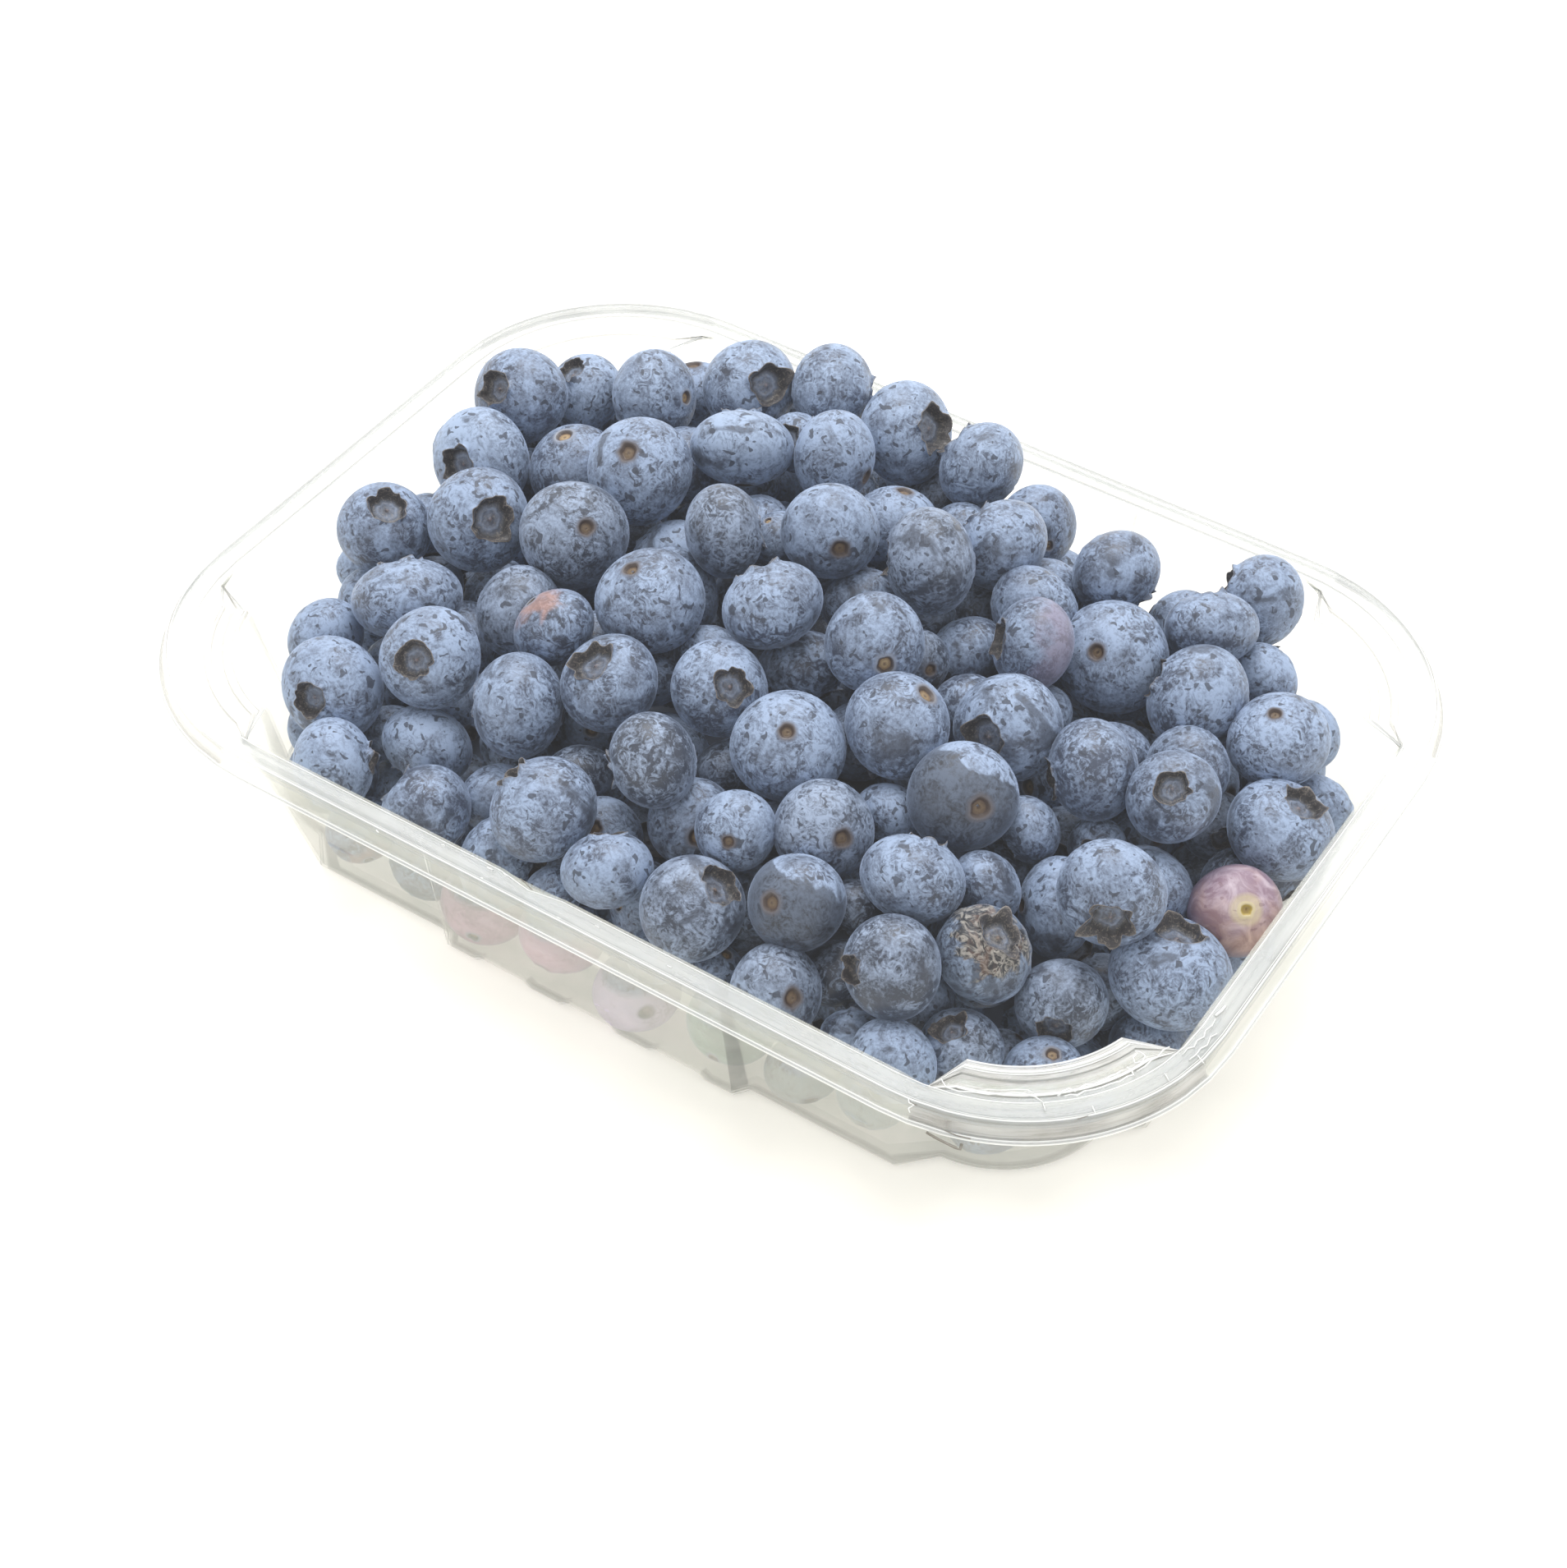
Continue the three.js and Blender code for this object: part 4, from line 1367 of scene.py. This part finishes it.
def skin_nodes(nodes, bloom, bare, worn, cover):
    """Bloom over bare skin, in mottles, wisps and worn patches, with painted light and shade: lighter on
    top and darker underneath. Returns colour and cover.
    """
    tone = nodes.between(nodes.value("tone"), 0, 1, -0.2, 0.2)
    mottles = nodes.noise(190, detail=6, roughness=0.60, distortion=1.2)
    mottles = nodes.between(mottles, 0.36, 0.63, 0.10, 0.80)
    wisps = nodes.noise(480, detail=7, roughness=0.66, distortion=2.8)
    wisps = nodes.between(wisps, 0.40, 0.62, -0.42, 0.42)
    busy = nodes.between(nodes.noise(150, detail=3, roughness=0.6), 0.42, 0.58, 0.35, 1.15)
    wisps = nodes.times(wisps, busy)
    # Painted light and shade: the skin is lighter on top and darker underneath, by which way is up.
    painted_light_and_shade = nodes.between(nodes.value("up"), -0.8, 0.8, -0.16, 0.14)
    grain = nodes.between(nodes.noise(1900, detail=2, roughness=0.7), 0.36, 0.64, -0.18, 0.18)
    share = nodes.plus(nodes.plus(mottles, wisps), nodes.plus(grain, tone))
    share = nodes.plus(share, painted_light_and_shade)
    share = nodes.between(nodes.plus(share, cover), 0.0, 1.0)
    skin = nodes.mix(share, bare, bloom)
    rubs = nodes.noise(130, detail=5, roughness=0.62, distortion=0.8)
    rubs = nodes.between(rubs, 0.565, 0.65, 0.0, 0.75)
    skin = nodes.mix(rubs, skin, worn)
    specks = nodes.between(nodes.noise(640, detail=1, distortion=0.4), 0.645, 0.67, 0.0, 0.85)
    skin = nodes.mix(specks, skin, worn)
    return skin, share


def finish_skin(nodes, skin, share):
    """Adds the crown's and the stem pit's colours, and the skin's roughness and fine relief."""
    cup = nodes.ramp(nodes.value("crown"), CROWN_COLOURS)
    shadows = nodes.between(nodes.noise(1100, detail=4), 0.35, 0.65, 0.0, 0.55)
    cup = nodes.mix(shadows, cup, CUP_SHADE)
    flecks = nodes.noise(1500, detail=5, roughness=0.7, distortion=1.5)
    flecks = nodes.between(flecks, 0.52, 0.62, 0.0, 0.4)
    cup = nodes.mix(flecks, cup, (150, 140, 128))
    disc = nodes.between(nodes.value("crown"), 0.55, 0.66, 0.0, 0.3)
    cup = nodes.mix(disc, cup, skin)
    skin = nodes.mix(nodes.between(nodes.value("crown"), 0.04, 0.16), skin, cup)
    pit = nodes.ramp(nodes.value("pit"), PIT_COLOURS)
    dull = nodes.between(nodes.value("tone"), 0.35, 0.65, 0.0, 0.75)
    pit = nodes.mix(dull, pit, PIT_SHADE)
    skin = nodes.mix(nodes.between(nodes.value("pit"), 0.12, 0.36, 0.0, 1.0), skin, pit)
    nodes.paint(skin)
    nodes.join(nodes.between(share, 0.0, 1.0, 0.38, 0.66), nodes.skin.inputs["Roughness"])
    set_sockets(nodes.skin, {
        "Specular IOR Level": 0.45,
        "Sheen Weight": 0.55,
        "Sheen Tint": (0.55, 0.70, 1.0, 1.0),
        "Sheen Roughness": 0.28,
    })
    nodes.bump(share, 0.35, 0.00012)
    return nodes.material


def berry_material(name, bloom=BLOOM, bare=BARE, worn=WORN, cover=0.0):
    """Blue skin under a powdery bloom. `cover` adds bloom, or takes it away below 0."""
    nodes = Nodes(name)
    skin, share = skin_nodes(nodes, bloom, bare, worn, cover)
    return finish_skin(nodes, skin, share)


def blushed_material(name, blush, low, high, top=2.0):
    """Blue skin that turns to another colour towards one end, and not on top, above `top`."""
    nodes = Nodes(name)
    skin, share = skin_nodes(nodes, BLOOM, BARE, WORN, 0.0)
    drift = nodes.between(nodes.noise(200, detail=4, distortion=0.8), 0.3, 0.7, -0.3, 0.3)
    reach = nodes.plus(nodes.value("height"), drift)
    dusted = nodes.mix(nodes.times(share, 0.2), blush, BLOOM)
    tinted = nodes.mix(nodes.between(share, 0.0, 0.6), nodes.mix(0.4, blush, WORN), dusted)
    below_top = nodes.between(nodes.value("up"), top, top - 0.15)
    blushed = nodes.times(nodes.between(reach, low, high), below_top)
    skin = nodes.mix(blushed, skin, tinted)
    return finish_skin(nodes, skin, share)


def rubbed_material():
    """Blue skin that is rubbed bare but for its upper back, with a sharp, wandering edge."""
    nodes = Nodes("rubbed_skin")
    skin, share = skin_nodes(nodes, BLOOM, BARE, WORN, 0.0)
    drift = nodes.between(nodes.noise(130, detail=3, distortion=0.8), 0.3, 0.7, -0.35, 0.35)
    side = nodes.plus(nodes.value("up"), nodes.value("back"))
    side = nodes.plus(side, drift)
    polished = nodes.mix(nodes.times(share, 0.26), (34, 38, 48), BLOOM)
    skin = nodes.mix(nodes.between(side, 0.84, 0.74), skin, polished)
    return finish_skin(nodes, skin, share)


def unripe_material():
    """Pink skin, mauve above and warm below, with a pale ring round the stem's pit."""
    nodes = Nodes("unripe_skin")
    drift = nodes.between(nodes.noise(200, detail=4, distortion=0.6), 0.3, 0.7, -0.3, 0.3)
    up = nodes.plus(nodes.value("up"), drift)
    height = nodes.plus(nodes.value("height"), nodes.times(drift, 0.35))
    mottles = nodes.between(nodes.noise(280, detail=6, roughness=0.65, distortion=1.2), 0.36, 0.64)
    mauve = nodes.mix(mottles, (130, 104, 120), (182, 164, 176))
    warm = nodes.mix(mottles, (140, 106, 102), (186, 154, 142))
    skin = nodes.mix(nodes.between(up, 0.1, 0.85), warm, mauve)
    dusk = nodes.mix(mottles, (88, 74, 92), (122, 108, 128))
    skin = nodes.mix(nodes.between(height, -0.60, -0.15), skin, dusk)
    ring = nodes.between(nodes.value("height"), -0.92, -0.98, 0.0, 0.85)
    skin = nodes.mix(ring, skin, (200, 186, 140))
    specks = nodes.between(nodes.noise(640, detail=1), 0.66, 0.70, 0.0, 0.5)
    skin = nodes.mix(specks, skin, (110, 78, 88))
    pit = nodes.mix(nodes.between(nodes.value("pit"), 0.6, 1.0), (172, 148, 66), (130, 104, 50))
    skin = nodes.mix(nodes.between(nodes.value("pit"), 0.35, 0.5), skin, pit)
    skin = nodes.mix(nodes.between(nodes.value("crown"), 0.04, 0.2), skin, CUP_SHADE)
    nodes.paint(skin)
    set_sockets(nodes.skin, {"Roughness": 0.42})
    nodes.bump(mottles, 0.2, 0.0001)
    return nodes.material


def shrivelled_material():
    """Dull blue skin that has dried brown in patches with pale, flaky streaks."""
    nodes = Nodes("shrivelled_skin")
    skin, share = skin_nodes(nodes, (132, 150, 176), (50, 56, 70), WORN, -0.12)
    flakes = nodes.between(nodes.noise(480, detail=7, roughness=0.68, distortion=2.5), 0.46, 0.58)
    dried = nodes.mix(flakes, (26, 24, 24), (152, 146, 136))
    rust = nodes.between(nodes.noise(240, detail=3, distortion=1.0), 0.56, 0.66, 0.0, 0.5)
    dried = nodes.mix(rust, dried, (104, 74, 56))
    drift = nodes.between(nodes.noise(150, detail=4, distortion=1.0), 0.3, 0.7, -0.6, 0.6)
    reach = nodes.plus(nodes.value("height"), drift)
    skin = nodes.mix(nodes.between(reach, 0.38, 0.55, 0.0, 0.9), skin, dried)
    return finish_skin(nodes, skin, share)


def core_material():
    """The dull blue-grey of the filling, a painted shade which is only glimpsed between the berries."""
    nodes = Nodes("deep_shade")
    tint = nodes.mix(nodes.noise(140), (84, 92, 110), (120, 130, 150))
    nodes.paint(tint)
    set_sockets(nodes.skin, {"Roughness": 0.9})
    return nodes.material


def streaks(nodes):
    """Long thin light and dark streaks that run along the rim, painted as reflections."""
    vector = nodes.add("ShaderNodeCombineXYZ")
    nodes.join(nodes.times(nodes.value("along"), 0.05), vector.inputs["X"])
    nodes.join(nodes.times(nodes.value("across"), 0.9), vector.inputs["Y"])
    return nodes.noise(1.6, detail=6, roughness=0.7, distortion=0.6, where=vector.outputs["Vector"])


def plastic_material(name, alpha, dark, light):
    """Clear thermoformed film with a slight haze, from its darker to its lighter painted reflection
    streaks.
    """
    nodes = Nodes(name)
    haze = nodes.between(nodes.noise(45, detail=4), 0.35, 0.65)
    # Painted reflections: light and dark streaks along the rim.
    painted_reflection_streak = nodes.between(streaks(nodes), 0.36, 0.60)
    haze = nodes.times(haze, 0.4)
    share = nodes.plus(haze, nodes.times(painted_reflection_streak, 0.6))
    nodes.paint(nodes.mix(share, dark, light))
    set_sockets(nodes.skin, {"Roughness": 0.12, "IOR": 1.5, "Alpha": alpha})
    nodes.bump(nodes.noise(60, detail=2), 0.12, 0.0008)
    return nodes.material


def floor_material():
    """A white table that glows, more and more strongly towards the back, as painted light."""
    nodes = Nodes("white_table")
    tint = nodes.mix(nodes.noise(3), (248, 245, 236), (251, 248, 240))
    nodes.paint(tint)
    set_sockets(nodes.skin, {"Roughness": 0.7, "Emission Color": (*linear(255, 252, 244), 1.0)})
    split = nodes.add("ShaderNodeSeparateXYZ")
    nodes.join(nodes.place(), split.inputs["Vector"])
    level = math.hypot(BACK[0], BACK[1])
    sideways = nodes.times(split.outputs["X"], -BACK[0] / level)
    backwards = nodes.times(split.outputs["Y"], -BACK[1] / level)
    depth = nodes.plus(sideways, backwards)
    glow = nodes.between(depth, FLOOR_GLOW_START, FLOOR_GLOW_END, FLOOR_GLOW_NEAR, FLOOR_GLOW_FAR)
    nodes.join(glow, nodes.skin.inputs["Emission Strength"])
    return nodes.material


# ---- light and floor ----

def add_floor():
    """The table top that the punnet stands on."""
    mesh = bpy.data.meshes.new("table_top")
    corners = [(x * TABLE_HALF, y * TABLE_HALF, 0) for x, y in ((-1, -1), (1, -1), (1, 1), (-1, 1))]
    mesh.from_pydata(corners, [], [(0, 1, 2, 3)])
    mesh.materials.append(floor_material())
    floor = bpy.data.objects.new("table_top", mesh)
    bpy.context.collection.objects.link(floor)


def add_softbox():
    """A large round light high above the back of the table, turned to the punnet."""
    data = bpy.data.lights.new("overhead_softbox", "AREA")
    data.shape = "DISK"
    data.size = SOFTBOX_SIZE
    data.energy = SOFTBOX_POWER
    light = bpy.data.objects.new("overhead_softbox", data)
    light.location = SOFTBOX_PLACE
    light.rotation_euler = (-Vector(SOFTBOX_PLACE)).to_track_quat("-Z", "Y").to_euler()
    bpy.context.collection.objects.link(light)


def add_lights():
    """An even white surrounding, the softbox, and how the picture is developed."""
    world = bpy.data.worlds.new("studio")
    world.use_nodes = True
    background = world.node_tree.nodes["Background"]
    set_sockets(background, {"Color": (1.0, 1.0, 1.0, 1.0), "Strength": WORLD_LIGHT})
    bpy.context.scene.world = world
    add_softbox()
    picture = bpy.context.scene.view_settings
    picture.view_transform = "Standard"
    picture.gamma = PICTURE_GAMMA
    picture.use_curve_mapping = True
    picture.curve_mapping.black_level = (-VEIL, -VEIL, -VEIL)
    picture.curve_mapping.update()


# ---- the scene ----

def build_heap():
    """All the pieces of the heap: the berries by kind, and the filling under them."""
    rng = np.random.default_rng(SEED)
    seen = seen_berries() + wall_berries()
    lower = fill_berries(seen, rng)
    blue = berry_material("blue_skin")
    kinds = {
        "dark": berry_material("dark_skin", (142, 158, 184), (45, 52, 66), cover=-0.15),
        "dusty": berry_material("dusty_skin", (152, 171, 200), (70, 80, 100), cover=0.12),
        "plum": blushed_material("plum_skin", (130, 124, 146), 0.45, -0.2),
        "red": blushed_material("red_skin", (160, 122, 112), -0.62, -0.98),
        "rubbed": rubbed_material(),
        "brown": shrivelled_material(),
        "unripe": unripe_material(),
        "pale": blushed_material("pale_skin", (156, 164, 158), 0.5, -0.1, top=0.7),
        "pink": blushed_material("pink_skin", (196, 144, 166), 0.5, -0.1, top=0.7),
        "lilac": blushed_material("lilac_skin", (214, 196, 220), 0.9, 0.3, top=0.7),
        "green": blushed_material("green_skin", (138, 166, 146), 0.5, -0.1, top=0.7),
    }
    pieces = []
    for face, segments in (("crown", 56), ("scar", 44)):
        some = [berry for berry in seen if berry.kind == "blue" and berry.face == face]
        pieces.append(joined_berries(f"blue_berries_{face}_out", some, blue, segments, 20, rng))
    for side, sign in (("left", -1), ("right", 1)):
        some = [berry for berry in lower if berry.centre[0] * sign > 0]
        pieces.append(joined_berries(f"lower_berries_{side}", some, blue, 22, 9, rng))
    for kind, material in kinds.items():
        some = [berry for berry in seen if berry.kind == kind]
        pieces.append(joined_berries(f"{kind}_berries", some, material, 56, 22, rng))
    pieces.append(build_core(core_material()))
    return pieces


add_camera()
# The five looks: milky haze, dark painted streaks of shade, clear film, painted highlights and painted
# shade lines.
tray = build_tray((
    plastic_material("hazy_rim", 0.42, (166, 170, 170), (204, 207, 205)),
    plastic_material("painted_shade_streaks_rim", 0.46, (136, 132, 124), (240, 240, 236)),
    plastic_material("clear_wall", 0.25, (206, 213, 200), (240, 237, 228)),
    plastic_material("painted_highlight_fold", 0.72, (238, 240, 238), (254, 254, 252)),
    plastic_material("painted_shade_fold", 0.46, (124, 126, 122), (172, 172, 166)),
))
# White ribbons: seal residue, and painted glints on the rim.
seal_residue_and_glints = plastic_material("seal_residue_and_glints", 0.9, (244, 246, 244), (255, 255, 254))
dark_mark_film = plastic_material("dark_mark_film", 0.7, (104, 96, 84), (150, 144, 132))
marks = build_marks("seal_and_glint_marks", SEAL_AND_GLINT_MARKS, seal_residue_and_glints)
dark_marks = build_marks("dark_marks", DARK_MARKS, dark_mark_film)
for tray_piece in (tray, marks, dark_marks):
    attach(tray_piece, "root")
    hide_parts("tray")
for heap_piece in build_heap():
    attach(heap_piece, "root")
    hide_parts("berries")
add_floor()
add_lights()
